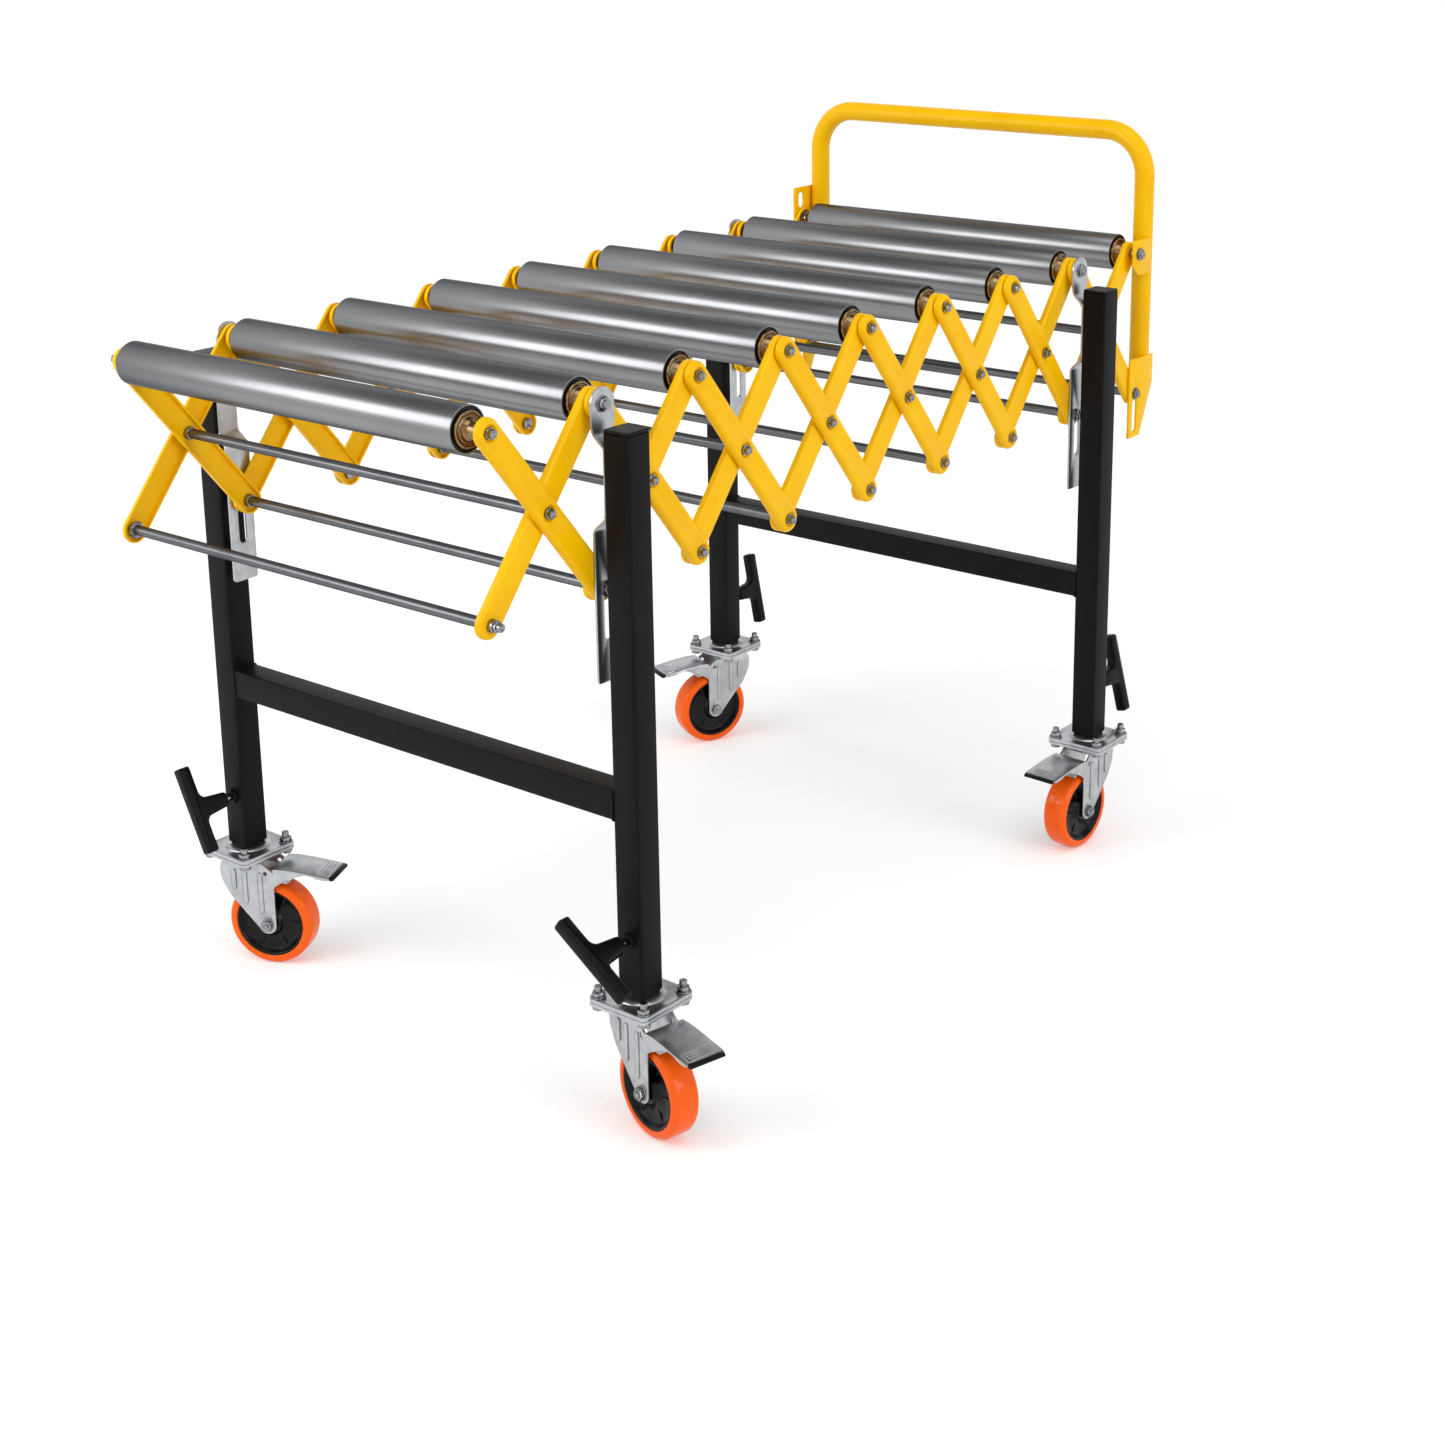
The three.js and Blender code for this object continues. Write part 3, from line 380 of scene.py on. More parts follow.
def together(shapes):
    whole = bmesh.new()
    for shape in shapes:
        holder = bpy.data.meshes.new("holder")
        shape.to_mesh(holder)
        whole.from_mesh(holder)
        bpy.data.meshes.remove(holder)
        shape.free()
    return whole


def piece(name, shapes, material, body, slot, *nodes, place=Matrix()):
    """One finished object from its shapes, riding on a body, which stands for the CAD nodes named last."""
    whole = together(shapes)
    whole.transform(STAND @ place)
    mesh = bpy.data.meshes.new(name)
    whole.to_mesh(mesh)
    whole.free()
    mesh.polygons.foreach_set("use_smooth", [True] * len(mesh.polygons))
    mesh.set_sharp_from_angle(angle=SHARP)
    mesh.materials.append(material)
    made = bpy.data.objects.new(name, mesh)
    bpy.context.collection.objects.link(made)
    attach(made, body)
    if nodes:
        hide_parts(*nodes)
    return made


def turn(axis, degrees):
    return Matrix.Rotation(radians(degrees), 4, axis)


def shift(x, y, z):
    return Matrix.Translation((x, y, z))


def flipped(shape, axis_signs):
    shape.transform(Matrix.Diagonal((*axis_signs, 1)))
    bmesh.ops.reverse_faces(shape, faces=shape.faces[:])
    return shape


def mirrored(shape, side):
    """Mirrors a shape drawn for the right side when the side is the left one."""
    return flipped(shape, (-1, 1, 1)) if side < 0 else shape


# Materials. A finish's roughness follows its grain and its patches by these shares, over the middle of the
# noise's range, where most of it lies.
GRAIN_SHARE, PATCH_SHARE = 0.6, 0.4
ROUGH_FROM, ROUGH_TO = 0.3, 0.7
TINT_FROM, TINT_TO = 0.35, 0.65


def colour(hex_text):
    parts = [int(hex_text[k : k + 2], 16) / 255 for k in (1, 3, 5)]
    return (*[c / 12.92 if c <= 0.04045 else ((c + 0.055) / 1.055) ** 2.4 for c in parts], 1)


def add(tree, kind, settings=None, **inputs):
    """A node with its settings, and its inputs set to values or linked from other nodes' sockets."""
    made = tree.nodes.new(kind)
    for name, value in (settings or {}).items():
        setattr(made, name, value)
    for name, value in inputs.items():
        socket = made.inputs[int(name[1:]) if name[0] == "_" else name.replace("_", " ")]
        if isinstance(value, bpy.types.NodeSocket):
            tree.links.new(value, socket)
        else:
            socket.default_value = value
    return made


def finish_of(
    name, base, other, grain_mm, bump_mm, roughness, stretch=(1, 1, 1), patches_mm=60, **surface
):
    """A principled finish whose colour drifts between two hex values over broad patches, and whose fine
    grain, one grain wide in mm and perhaps stretched along an axis, moves its roughness and its bump."""
    material = bpy.data.materials.new(name)
    material.use_nodes = True
    tree = material.node_tree
    tree.nodes.clear()
    place = add(tree, "ShaderNodeTexCoord").outputs["Object"]
    pulled = add(tree, "ShaderNodeMapping", Vector=place, Scale=stretch).outputs["Vector"]
    per_metre = 1 / MM
    grain = add(
        tree, "ShaderNodeTexNoise", Vector=pulled, Scale=per_metre / grain_mm, Detail=3.0, Roughness=0.6
    ).outputs["Fac"]
    patches = add(
        tree, "ShaderNodeTexNoise", Vector=place, Scale=per_metre / patches_mm, Detail=4.0, Roughness=0.55
    ).outputs["Fac"]
    drift = add(
        tree, "ShaderNodeMapRange", Value=patches, From_Min=TINT_FROM, From_Max=TINT_TO
    ).outputs["Result"]
    tint = add(
        tree, "ShaderNodeMix", {"data_type": "RGBA"}, _0=drift, _6=colour(base), _7=colour(other)
    ).outputs[2]
    low, high = roughness
    broad = add(
        tree, "ShaderNodeMath", {"operation": "MULTIPLY"}, _0=patches, _1=PATCH_SHARE
    ).outputs[0]
    both = add(
        tree, "ShaderNodeMath", {"operation": "MULTIPLY_ADD"}, _0=grain, _1=GRAIN_SHARE, _2=broad
    ).outputs[0]
    rough = add(
        tree, "ShaderNodeMapRange", Value=both, From_Min=ROUGH_FROM, From_Max=ROUGH_TO, To_Min=low,
        To_Max=high
    ).outputs["Result"]
    relief = add(
        tree, "ShaderNodeBump", Height=grain, Strength=1.0, Distance=bump_mm * MM
    ).outputs["Normal"]
    shader = add(
        tree, "ShaderNodeBsdfPrincipled", Base_Color=tint, Roughness=rough, Normal=relief, **surface
    )
    add(tree, "ShaderNodeOutputMaterial", Surface=shader.outputs[0])
    return material


# How bright a polished metal's reflection is at its edges
DARK_EDGE = (0.3, 0.3, 0.31, 1.0)

# Yellow gloss powder coat on steel: a warm even yellow, with a soft orange-peel ripple in its reflections.
powder_yellow = finish_of(
    "gloss_yellow_powder_coat", "#FBC400", "#F8BB00", 2.2, 0.03, (0.28, 0.36), IOR=1.5, Coat_Weight=0.1,
    Coat_Roughness=0.06, Specular_IOR_Level=0.1,
)
# Satin black powder coat on square tube: near black, faintly pebbled, with a broad dim sheen.
powder_black = finish_of(
    "satin_black_powder_coat", "#0E0C0C", "#121010", 0.9, 0.02, (0.42, 0.52), IOR=1.5,
    Specular_IOR_Level=0.1,
)
# Bright zinc plate on stamped steel: cool silver with a faintly cloudy sheen.
zinc = finish_of(
    "bright_zinc_plate", "#BFC1C4", "#ACAFB2", 1.6, 0.012, (0.28, 0.38), patches_mm=14, Metallic=1.0
)
# Polished zinc on nuts and bolts: small parts with hard bright and dark reflections.
nut_zinc = finish_of(
    "polished_zinc_fastener", "#A2A3A6", "#8A8C8F", 0.8, 0.008, (0.1, 0.18), patches_mm=6, Metallic=1.0,
    Specular_Tint=DARK_EDGE,
)
# Ground and polished steel tube: long smooth reflections, darker towards the edges of each roller.
ground_steel = finish_of(
    "ground_steel_tube", "#909193", "#8A8B8D", 1.2, 0.0008, (0.28, 0.31), stretch=(1, 0.1, 0.1),
    patches_mm=90, Metallic=1.0, Specular_Tint=DARK_EDGE,
)
# Cold-drawn steel bar: mid grey, with draw lines along its length.
drawn_steel = finish_of(
    "cold_drawn_steel_bar", "#727376", "#68696C", 1.2, 0.0015, (0.28, 0.34), stretch=(0.02, 1, 1),
    Metallic=1.0, Specular_Tint=(0.35, 0.35, 0.36, 1.0),
)
# Yellow chromate on pressed steel bearing cups: brown gold that turns grey in places.
chromate = finish_of(
    "yellow_chromate_steel", "#8A6438", "#94856A", 1.5, 0.01, (0.18, 0.25), patches_mm=9, Metallic=1.0
)
# Moulded black nylon: deep black with a fine matt grain.
nylon = finish_of(
    "moulded_black_nylon", "#080708", "#0D0B0C", 0.7, 0.025, (0.34, 0.46), IOR=1.53, Specular_IOR_Level=0.12
)
# Ring between each roller's rim and its bearing cup, coloured dull black as painted shade for the recess
# there.
painted_shade_ring_black = finish_of(
    "black_ring_painted_recess_shade", "#141516", "#1B1C1C", 0.9, 0.03, (0.5, 0.62), IOR=1.52, Specular_IOR_Level=0.3
)
# Cast polyurethane tread: saturated orange with a wet-looking gloss.
tread_orange = finish_of(
    "cast_orange_polyurethane", "#FC6303", "#F95F04", 3.0, 0.012, (0.2, 0.28), IOR=1.5, Coat_Weight=0.3,
    Coat_Roughness=0.05, Specular_IOR_Level=0.06,
)
# Moulded polypropylene wheel centre: black and glossy.
core_black = finish_of(
    "glossy_black_polypropylene", "#040405", "#08070A", 2.0, 0.02, (0.2, 0.3), IOR=1.49,
    Specular_IOR_Level=0.22,
)


# Scissor frame


def arm_outline(steps=14):
    half = ARM_WIDTH / 2
    return arc(0, 0, half, 90, 270, steps) + arc(ARM_LENGTH, 0, half, -90, 90, steps)


def pivot_places():
    return [ARM_LENGTH * k / 2 for k in range(3)]


def outer_rims(shape):
    top = CHANNEL_DEPTH - NEAR
    sharp = [e for e in shape.edges if e.calc_face_angle() > SHARP]
    return [e for e in sharp if min(v.co.z for v in e.verts) > top]


def sink(shape, faces, way):
    """Moves faces of a closed shape inwards or outwards, with walls where they were joined."""
    deep = grow(shape, faces, way)
    bmesh.ops.delete(shape, geom=faces, context="FACES_ONLY")
    return deep


def press_dimples(shape):
    """Opens the outer face, fills it round a circle at each pivot, and presses each circle in."""
    web = max(shape.faces, key=lambda f: (round(f.calc_center_median().z, 3), f.calc_area()))
    bmesh.ops.delete(shape, geom=[web], context="FACES_ONLY")
    rims = [e for e in shape.edges if e.is_boundary]
    rings = []
    for u in pivot_places():
        made = bmesh.ops.create_circle(
            shape, segments=DIMPLE_STEPS, radius=DIMPLE_RADIUS, matrix=shift(u, 0, CHANNEL_DEPTH)
        )["verts"]
        rings.append(list({e for v in made for e in v.link_edges}))
    bmesh.ops.triangle_fill(shape, use_beauty=True, edges=rims + [e for ring in rings for e in ring])
    narrower = DIMPLE_FLOOR_RADIUS / DIMPLE_RADIUS
    for u, ring in zip(pivot_places(), rings):
        made = bmesh.ops.extrude_edge_only(shape, edges=ring)["geom"]
        low = [v for v in made if isinstance(v, bmesh.types.BMVert)]
        bmesh.ops.scale(shape, verts=low, vec=(narrower, narrower, 1), space=shift(-u, 0, 0))
        bmesh.ops.translate(shape, verts=low, vec=(0, 0, -DIMPLE_DEPTH))
    bmesh.ops.holes_fill(shape, edges=[e for e in shape.edges if e.is_boundary])
    faces_outward(shape)
    return round_edges(shape, DIMPLE_EDGE, 2, outer_rims(shape))


def channel_arm(rounding):
    """Pressed channel with rounded outer edges, open towards the middle of the frame."""
    shape = outline_faces(arm_outline())
    grow(shape, shape.faces[:], (0, 0, CHANNEL_DEPTH))
    faces_outward(shape)
    round_edges(shape, rounding, ROUNDING_STEPS, outer_rims(shape))
    back = [f for f in shape.faces if max(v.co.z for v in f.verts) < NEAR]
    bmesh.ops.inset_region(shape, faces=back, thickness=CHANNEL_WALL, use_even_offset=True)
    sink(shape, back, (0, 0, CHANNEL_DEPTH - CHANNEL_WEB))
    return faces_outward(shape)


def outer_arm():
    return moved(press_dimples(channel_arm(OUTER_ROUNDING)), GROW_X, (OUTER_ARM[0], 0, 0))


def inner_arm():
    return moved(channel_arm(INNER_ROUNDING), GROW_X, (INNER_ARM[0], 0, 0))


def first_arm_meets(row, n):
    return n <= BAYS if row == "top" else row == "middle" or n > 1


def second_arm_meets(row, n):
    return n > 1 if row == "top" else row == "middle" or n <= BAYS


def outer_arm_is_there(row, n, side):
    return (first_arm_meets if side > 0 else second_arm_meets)(row, n)


def has_side_plate(row, n):
    return row != "middle" and (n in LEG_STATIONS or n == ROLLERS)


def inner_face(row, n, side):
    """The back of the innermost plate that a pin passes on one side."""
    inner_meets = second_arm_meets if side > 0 else first_arm_meets
    return (INNER_ARM if inner_meets(row, n) else OUTER_ARM)[1] - CHANNEL_WEB


def hexagon(radius):
    return circle(radius, 6)


def nut(radius, thickness, shank, end=BOLT_END):
    """Washer, chamfered hexagon nut and the chamfered end of its bolt, growing from the face under it."""
    top = WASHER_THICKNESS + thickness
    return [
        disc(radius * WASHER_REACH, 0, WASHER_THICKNESS, WASHER_EDGE, hole=shank),
        moved(plate(hexagon(radius), thickness, HEX_CHAMFER), (0, 0, WASHER_THICKNESS)),
        disc(shank, top - 1, top + end, BOLT_CHAMFER),
    ]


def dished_end(radius, low, high):
    """End of a rod or axle, chamfered and a little hollow in its middle."""
    chamfer = [(radius, low), (radius, high - BOLT_CHAMFER), (radius - BOLT_CHAMFER, high)]
    dish = [(radius * DISH_RIM, high), (radius * DISH_FLOOR, high - DISH_DEPTH), (0, high - DISH_DEPTH)]
    return turned([(0, low), *chamfer, *dish], 0, SMALL_ROUND)


def on_side(shapes, side, x, along):
    return [mirrored(moved(s, GROW_X, (x, along, 0)), side) for s in shapes]


def pin_end(row, n, side):
    """A pin's end from the inner arm outwards: a sleeve where no outer arm fills the room, then a low nut in
    the outer arm's dimple, or a washer and a nut on the plate at a leg or at the handle."""
    if has_side_plate(row, n):
        seat = SIDE_PLATE[1] - PIN_START
        stack = nut(PLATE_NUT_RADIUS[row], PIN_NUT_THICKNESS, PIN_RADIUS[row])
        parts = [moved(s, (0, 0, seat)) for s in stack]
    else:
        seat = OUTER_ARM[1] - DIMPLE_DEPTH - PIN_START
        low_nut = plate(hexagon(LOW_NUT_RADIUS), PIN_NUT_THICKNESS, LOW_NUT_CHAMFER)
        tip = dished_end(PIN_RADIUS[row], 0, OUTER_ARM[1] + PIN_STANDOUT - PIN_START)
        parts = [moved(low_nut, (0, 0, seat)), tip]
    if outer_arm_is_there(row, n, side):
        parts.append(disc(ARM_WASHER_RADIUS, 0, ARM_GAP, WASHER_EDGE))
    else:
        parts.append(disc(SLEEVE_RADIUS, 0, seat, SLEEVE_EDGE))
    return parts


def pin_parts(row, n, along):
    """Nuts outside, a collar inside, and the rod or axle of one pin, across the frame or on each side."""
    across = PIN_PLANS[row][n - 1].isupper()
    radius = AXLE_RADIUS if row == "top" else ROD_RADIUS
    nuts, rods = [], []
    for side in SIDES:
        inside = inner_face(row, n, side)
        nuts += on_side(pin_end(row, n, side), side, PIN_START, along)
        if row == "top":
            nose = ROLLER_HALF + ROLLER_END_ROOM - NOSE_ROOM
            if inside - nose > 1:
                spacer = disc(SPACER_RADIUS, 0, inside - nose, WASHER_EDGE)
                nuts += on_side([spacer], side, nose, along)
        else:
            standout = ROD_COLLAR_STANDOUT if across else RIVET_HEAD_STANDOUT
            collar = CHANNEL_DEPTH - CHANNEL_WEB + standout
            nuts += on_side([disc(COLLAR_RADIUS, 0, collar, 1)], side, inside - collar, along)
        if not across:
            rivet = disc(radius, 0, PIN_START + ROD_OVERLAP - inside, 0)
            rods += on_side([rivet], side, inside, along)
    if across:
        reach = PIN_START + ROD_OVERLAP
        rod = disc(radius, -reach, reach, 0, steps=ROD_ROUND)
        rods.append(moved(rod, GROW_X, (0, along, 0)))
    return nuts, rods


def add_arm_pair(letter, n):
    is_first = letter == "a"
    pivots = [("top", n), ("middle", n), ("bottom", n + 1)]
    if not is_first:
        pivots = [("bottom", n), ("middle", n), ("top", n + 1)]
    name, body, node = f"{letter}{n}", f"arms_{letter}{n}", f"arm_pair_{letter}{n}"
    start = shift(0, (n - 1) * PITCH, 0 if is_first else -RISE)
    place = start @ Matrix.Rotation(-ARM_LEAN if is_first else ARM_LEAN, 4, "X")
    arms = [outer_arm() if is_first == (side > 0) else inner_arm() for side in SIDES]
    arms = [mirrored(arm, side) for arm, side in zip(arms, SIDES)]
    piece(f"scissor_arms_{name}", arms, powder_yellow, body, "yellow_paint", node, place=place)
    nuts, rods = [], []
    for k, (row, number) in enumerate(pivots):
        if (PIN_PLANS[row][number - 1].upper() == "A") == is_first:
            more_nuts, more_rods = pin_parts(row, number, k * ARM_LENGTH / 2)
            nuts += more_nuts
            rods += more_rods
    if nuts:
        piece(f"nuts_{name}", nuts, nut_zinc, body, "zinc_plate", place=place)
        piece(f"rods_{name}", rods, drawn_steel, body, "roller_steel", place=place)


for bay in range(1, BAYS + 1):
    for letter in "ab":
        add_arm_pair(letter, bay)


# Rollers


# Radius and height past the tube's end of the ring round a bearing cup, whose black is painted shade for the
# recess
SHADE_RING_PROFILE = [(19.4, -10), (23.6, -10), (23.6, -2.4), (22.8, -3), (20.4, -3), (19.4, -2.4)]
# The same of the cup: its back, its rolled lip, the rings pressed in its bowl, and the nose at the arm
CUP_BACK = [(6.6, -12), (19.6, -12)]
CUP_LIP = [(19.9, 1.8), (19.3, 3.2), (18, 3.5), (17.2, 2.6), (16.6, 1)]
CUP_BOWL = [
    (15.4, 0.6), (14.8, 1.8), (13.8, 2.6), (12.8, 2.2), (12.2, 3.4), (11.6, 6), (10.4, 7.6), (9.8, 9),
]
CUP_NOSE = [(r, ROLLER_END_ROOM - SIDE_GAP) for r in (9.4, 6.6)]
CUP_EDGE = 0.25


def roller_tube():
    half, inside = ROLLER_HALF, ROLLER_RADIUS - ROLLER_WALL
    rim = half - ROLLER_RIM_DEPTH
    ring = [(ROLLER_RADIUS, -half), (ROLLER_RADIUS, half), (inside, half), (inside, rim)]
    ring += [(inside, -rim), (inside, -half)]
    return moved(turned(ring, 0.5, BIG_ROUND), GROW_X)


# Ring round a bearing cup, set back from the tube's rim, drawn black as painted shade for the recess there.
def roller_shade_ring():
    return moved(turned(SHADE_RING_PROFILE), GROW_X, (ROLLER_HALF, 0, 0))


def roller_bearing():
    profile = [*CUP_BACK, *CUP_LIP, *CUP_BOWL, *CUP_NOSE]
    return moved(turned(profile, CUP_EDGE), GROW_X, (ROLLER_HALF, 0, 0))


for n in range(1, ROLLERS + 1):
    place = shift(0, (n - 1) * PITCH, 0)
    node = f"roller_{n}"
    piece(f"roller_tube_{n}", [roller_tube()], ground_steel, node, "roller_steel", node, place=place)
    cups = [mirrored(roller_bearing(), side) for side in SIDES]
    piece(f"roller_bearings_{n}", cups, chromate, node, "zinc_plate", place=place)
    # The black of these rings is painted shade in the recess round each bearing cup.
    shade_rings = [mirrored(roller_shade_ring(), side) for side in SIDES]
    piece(f"roller_shade_rings_{n}", shade_rings, painted_shade_ring_black, node, "black_plastic", place=place)


# Leg frames


def square_tube(size, wall, corner, length):
    inner = rounded_box(size - 2 * wall, size - 2 * wall, corner - wall)
    return plate(rounded_box(size, size, corner), length, 0, [inner])


def crossbar():
    half = LEG_X - TUBE / 2 + WELD_OVERLAP
    bar = moved(plate(rounded_box(TUBE, TUBE, TUBE_CORNER), 2 * half, 0), GROW_X)
    return moved(bar, (-half, 0, CROSSBAR_TOP - TUBE / 2))


def weld_bead(side):
    """Rounded seam where the crossbar meets a leg."""
    across = TUBE + WELD_SIZE
    outline = rounded_box(across, across, TUBE_CORNER + WELD_SIZE / 2)
    bead = plate(outline, WELD_SIZE, WELD_EDGE, steps=3)
    x = LEG_X - TUBE / 2 - WELD_SIZE + WELD_DEPTH
    return mirrored(moved(bead, GROW_X, (x, 0, CROSSBAR_TOP - TUBE / 2)), side)


def bracket_reach(z):
    """How far out the hanging strip lies at a height: it jogs out to the leg and back in again."""
    leg_face = LEG_X - TUBE / 2 - BRACKET_GAP
    lug_share, strip_share = [
        min(max((z - low) / BEND_HEIGHT, 0), 1) for low in (LUG_BOTTOM - BEND_HEIGHT, GUIDE_TOP)
    ]
    inward = lug_share + 1 - strip_share
    eased = inward * inward * (3 - 2 * inward)
    return leg_face + (SIDE_PLATE[1] - leg_face) * eased


def hanging_bracket():
    half = BRACKET_HALF_WIDTH
    neck, corner = half - NECK_INSET, BRACKET_CORNER
    right_side = [
        (half, GUIDE_TOP), (neck, GUIDE_TOP + BEND_HEIGHT), (neck, NECK_TOP), (half, NECK_SHOULDER)
    ]
    outline = arc(0, 0, half, 0, 180, 24)
    outline += [(-x, z) for x, z in reversed(right_side)]
    outline += arc(-half + corner, GUIDE_BOTTOM + corner, corner, 180, 270, 4)
    outline += arc(half - corner, GUIDE_BOTTOM + corner, corner, 270, 360, 4)
    outline += right_side
    slot = upright_slot(PIN_SLOT_RADIUS, -FOLDED_RISE, -RISE)
    shape = outline_faces(outline, [circle(AXLE_RADIUS + AXLE_ROOM, 20), slot])
    for low in (LUG_BOTTOM - BEND_HEIGHT, GUIDE_TOP):
        for k in range(BEND_STEPS + 1):
            cut = (0, low + BEND_HEIGHT * k / BEND_STEPS, 0)
            every = shape.verts[:] + shape.edges[:] + shape.faces[:]
            bmesh.ops.bisect_plane(shape, geom=every, plane_co=cut, plane_no=(0, 1, 0))
    for vert in shape.verts:
        vert.co.z = bracket_reach(vert.co.y)
    bmesh.ops.recalc_face_normals(shape, faces=shape.faces[:])
    if sum(f.normal.z for f in shape.faces) < 0:
        bmesh.ops.reverse_faces(shape, faces=shape.faces[:])
    bmesh.ops.solidify(shape, geom=shape.faces[:], thickness=PLATE_THICKNESS)
    faces_outward(shape)
    rim = [e for e in shape.edges if e.is_manifold and e.calc_face_angle() > RIM_ANGLE]
    return moved(round_edges(shape, BRACKET_EDGE, 2, rim), GROW_X)


def leg_cap():
    cap = plate(rounded_box(TUBE, TUBE, TUBE_CORNER), CAP_THICKNESS, CAP_EDGE, steps=4)
    return moved(cap, (0, 0, LEG_TOP + CAP_GAP))


def outward(way):
    """Turns what is drawn for the front legs' outer face round to the rear legs' when the way is positive."""
    return turn("Z", 180 if way > 0 else 0)


def screw_boss(way):
    """Weld nut that the hand screw runs in, on the leg's outer face."""
    boss = plate(circle(BOSS_RADIUS, 28), BOSS_DEPTH, 1, [circle(BOSS_BORE, 20)])
    return moved(boss, GROW_BACK, (0, -TUBE / 2 + BOSS_SINK, SCREW_Z), outward(way))


def hand_screw_grip():
    """Moulded T grip: a bar with flat ends and a filleted neck that narrows towards the stud."""
    half, deep = GRIP_HALF_LENGTH - GRIP_CORNER, GRIP_HALF_DEPTH - GRIP_CORNER
    fillet_u, fillet_v = GRIP_NECK + GRIP_NECK_FLARE + GRIP_FILLET, GRIP_HALF_DEPTH + GRIP_FILLET
    outline = arc(-half, -deep, GRIP_CORNER, 180, 270, 4)
    outline += arc(half, -deep, GRIP_CORNER, 270, 360, 4)
    outline += arc(half, deep, GRIP_CORNER, 0, 90, 4)
    outline += arc(fillet_u, fillet_v, GRIP_FILLET, 270, 180, 6)
    outline += [(GRIP_NECK, GRIP_FRONT), (-GRIP_NECK, GRIP_FRONT)]
    outline += arc(-fillet_u, fillet_v, GRIP_FILLET, 0, -90, 6)
    outline += arc(-half, deep, GRIP_CORNER, 90, 180, 4)
    grip = plate(outline, GRIP_THICKNESS, GRIP_EDGE, steps=4)
    # The outline's first axis becomes Z, downwards, and its second Y, towards the leg
    upright = Matrix(((0, 0, 1, -GRIP_THICKNESS / 2), (0, 1, 0, 0), (-1, 0, 0, 0), (0, 0, 0, 1)))
    return moved(grip, upright)


def add_leg_frame(end, station):
    way = -1 if end == "front" else 1
    body = f"{end}_legs"
    frame_place = shift(0, (station - 1) * PITCH, 0)
    legs = [square_tube(TUBE, TUBE_WALL, TUBE_CORNER, LEG_TOP - LEG_BOTTOM) for _ in SIDES]
    legs = [moved(leg, (s * LEG_X, 0, LEG_BOTTOM)) for leg, s in zip(legs, SIDES)]
    bosses = [moved(screw_boss(way), (s * LEG_X, 0, 0)) for s in SIDES]
    beads = [weld_bead(s) for s in SIDES]
    piece(
        f"leg_tubes_{end}", [*legs, crossbar(), *bosses, *beads], powder_black, body, "black_paint",
        f"leg_frame_{end}", place=frame_place,
    )
    for side, name in zip(SIDES, ("right", "left")):
        add_corner(f"{end}_{name}", side, way, body, frame_place)


def add_corner(corner, side, way, body, frame_place):
    leg_place = frame_place @ shift(side * LEG_X, 0, 0)
    bracket = mirrored(hanging_bracket(), side)
    piece(
        f"hanging_bracket_{corner}", [bracket], zinc, body, "zinc_plate", f"leg_bracket_{corner}",
        place=frame_place,
    )
    piece(
        f"tube_cap_{corner}", [leg_cap()], nylon, body, "black_plastic", f"leg_cap_{corner}",
        place=leg_place,
    )
    screw = f"hand_screw_{corner}"
    screw_place = leg_place @ shift(0, 0, SCREW_Z) @ outward(way) @ turn("Y", -SCREW_LEANS[corner])
    grip = moved(hand_screw_grip(), (0, -GRIP_REACH, 0))
    piece(f"hand_grip_{corner}", [grip], nylon, screw, "black_plastic", screw, place=screw_place)
    stud = moved(disc(STUD_RADIUS, 0, STUD_LENGTH, STUD_EDGE), GROW_BACK, (0, -STUD_START, 0))
    piece(f"screw_stud_{corner}", [stud], nut_zinc, screw, "zinc_plate", place=screw_place)
    add_inner_leg(corner, leg_place)
    add_castor(corner, leg_place @ shift(0, 0, CASTOR_Z))


# Inner legs and castors


def mount_plate(thickness):
    spots = [(u * BOLT_PLACE, v * BOLT_PLACE) for u in SIDES for v in SIDES]
    holes = [circle(MOUNT_BOLT_HOLE, 16, *spot) for spot in spots]
    outline = rounded_box(MOUNT_SIZE, MOUNT_SIZE, MOUNT_CORNER)
    return plate(outline, thickness, holes=holes)


def add_inner_leg(corner, leg_place):
    body = f"inner_leg_{corner}"
    tube = square_tube(INNER_TUBE, TUBE_WALL, INNER_TUBE_CORNER, INNER_TUBE_SHOWN)
    seam = plate(rounded_box(SEAM_SIZE, SEAM_SIZE, SEAM_CORNER), SEAM_HEIGHT, 1)
    shapes = [moved(s, (0, 0, MOUNT_TOP)) for s in (tube, seam)]
    piece(f"inner_tube_{corner}", shapes, powder_black, body, "black_paint", body, place=leg_place)
    top = moved(mount_plate(MOUNT_THICKNESS), (0, 0, MOUNT_TOP - MOUNT_THICKNESS))
    dome = moved(turned(DOME_PROFILE, DOME_EDGE, RACE_ROUND), (0, 0, MOUNT_TOP))
    piece(f"leg_mount_plate_{corner}", [top, dome], zinc, body, "zinc_plate", place=leg_place)


def mount_bolts():
    """Four bolts, each with its head under the castor plate and its nut on the mount plate."""
    parts = []
    nut_base = CASTOR_PLATE_THICKNESS + MOUNT_THICKNESS + MOUNT_NUT_LIFT
    for u in SIDES:
        for v in SIDES:
            top = nut(MOUNT_NUT_RADIUS, NUT_THICKNESS, CASTOR_BOLT_RADIUS, MOUNT_BOLT_END)
            head = plate(hexagon(MOUNT_NUT_RADIUS), BOLT_HEAD_THICKNESS, HEX_CHAMFER)
            stack = [moved(s, (0, 0, nut_base)) for s in top]
            stack.append(moved(head, (0, 0, BOLT_HEAD_BOTTOM)))
            parts += [moved(s, (u * BOLT_PLACE, v * BOLT_PLACE, 0)) for s in stack]
    return parts


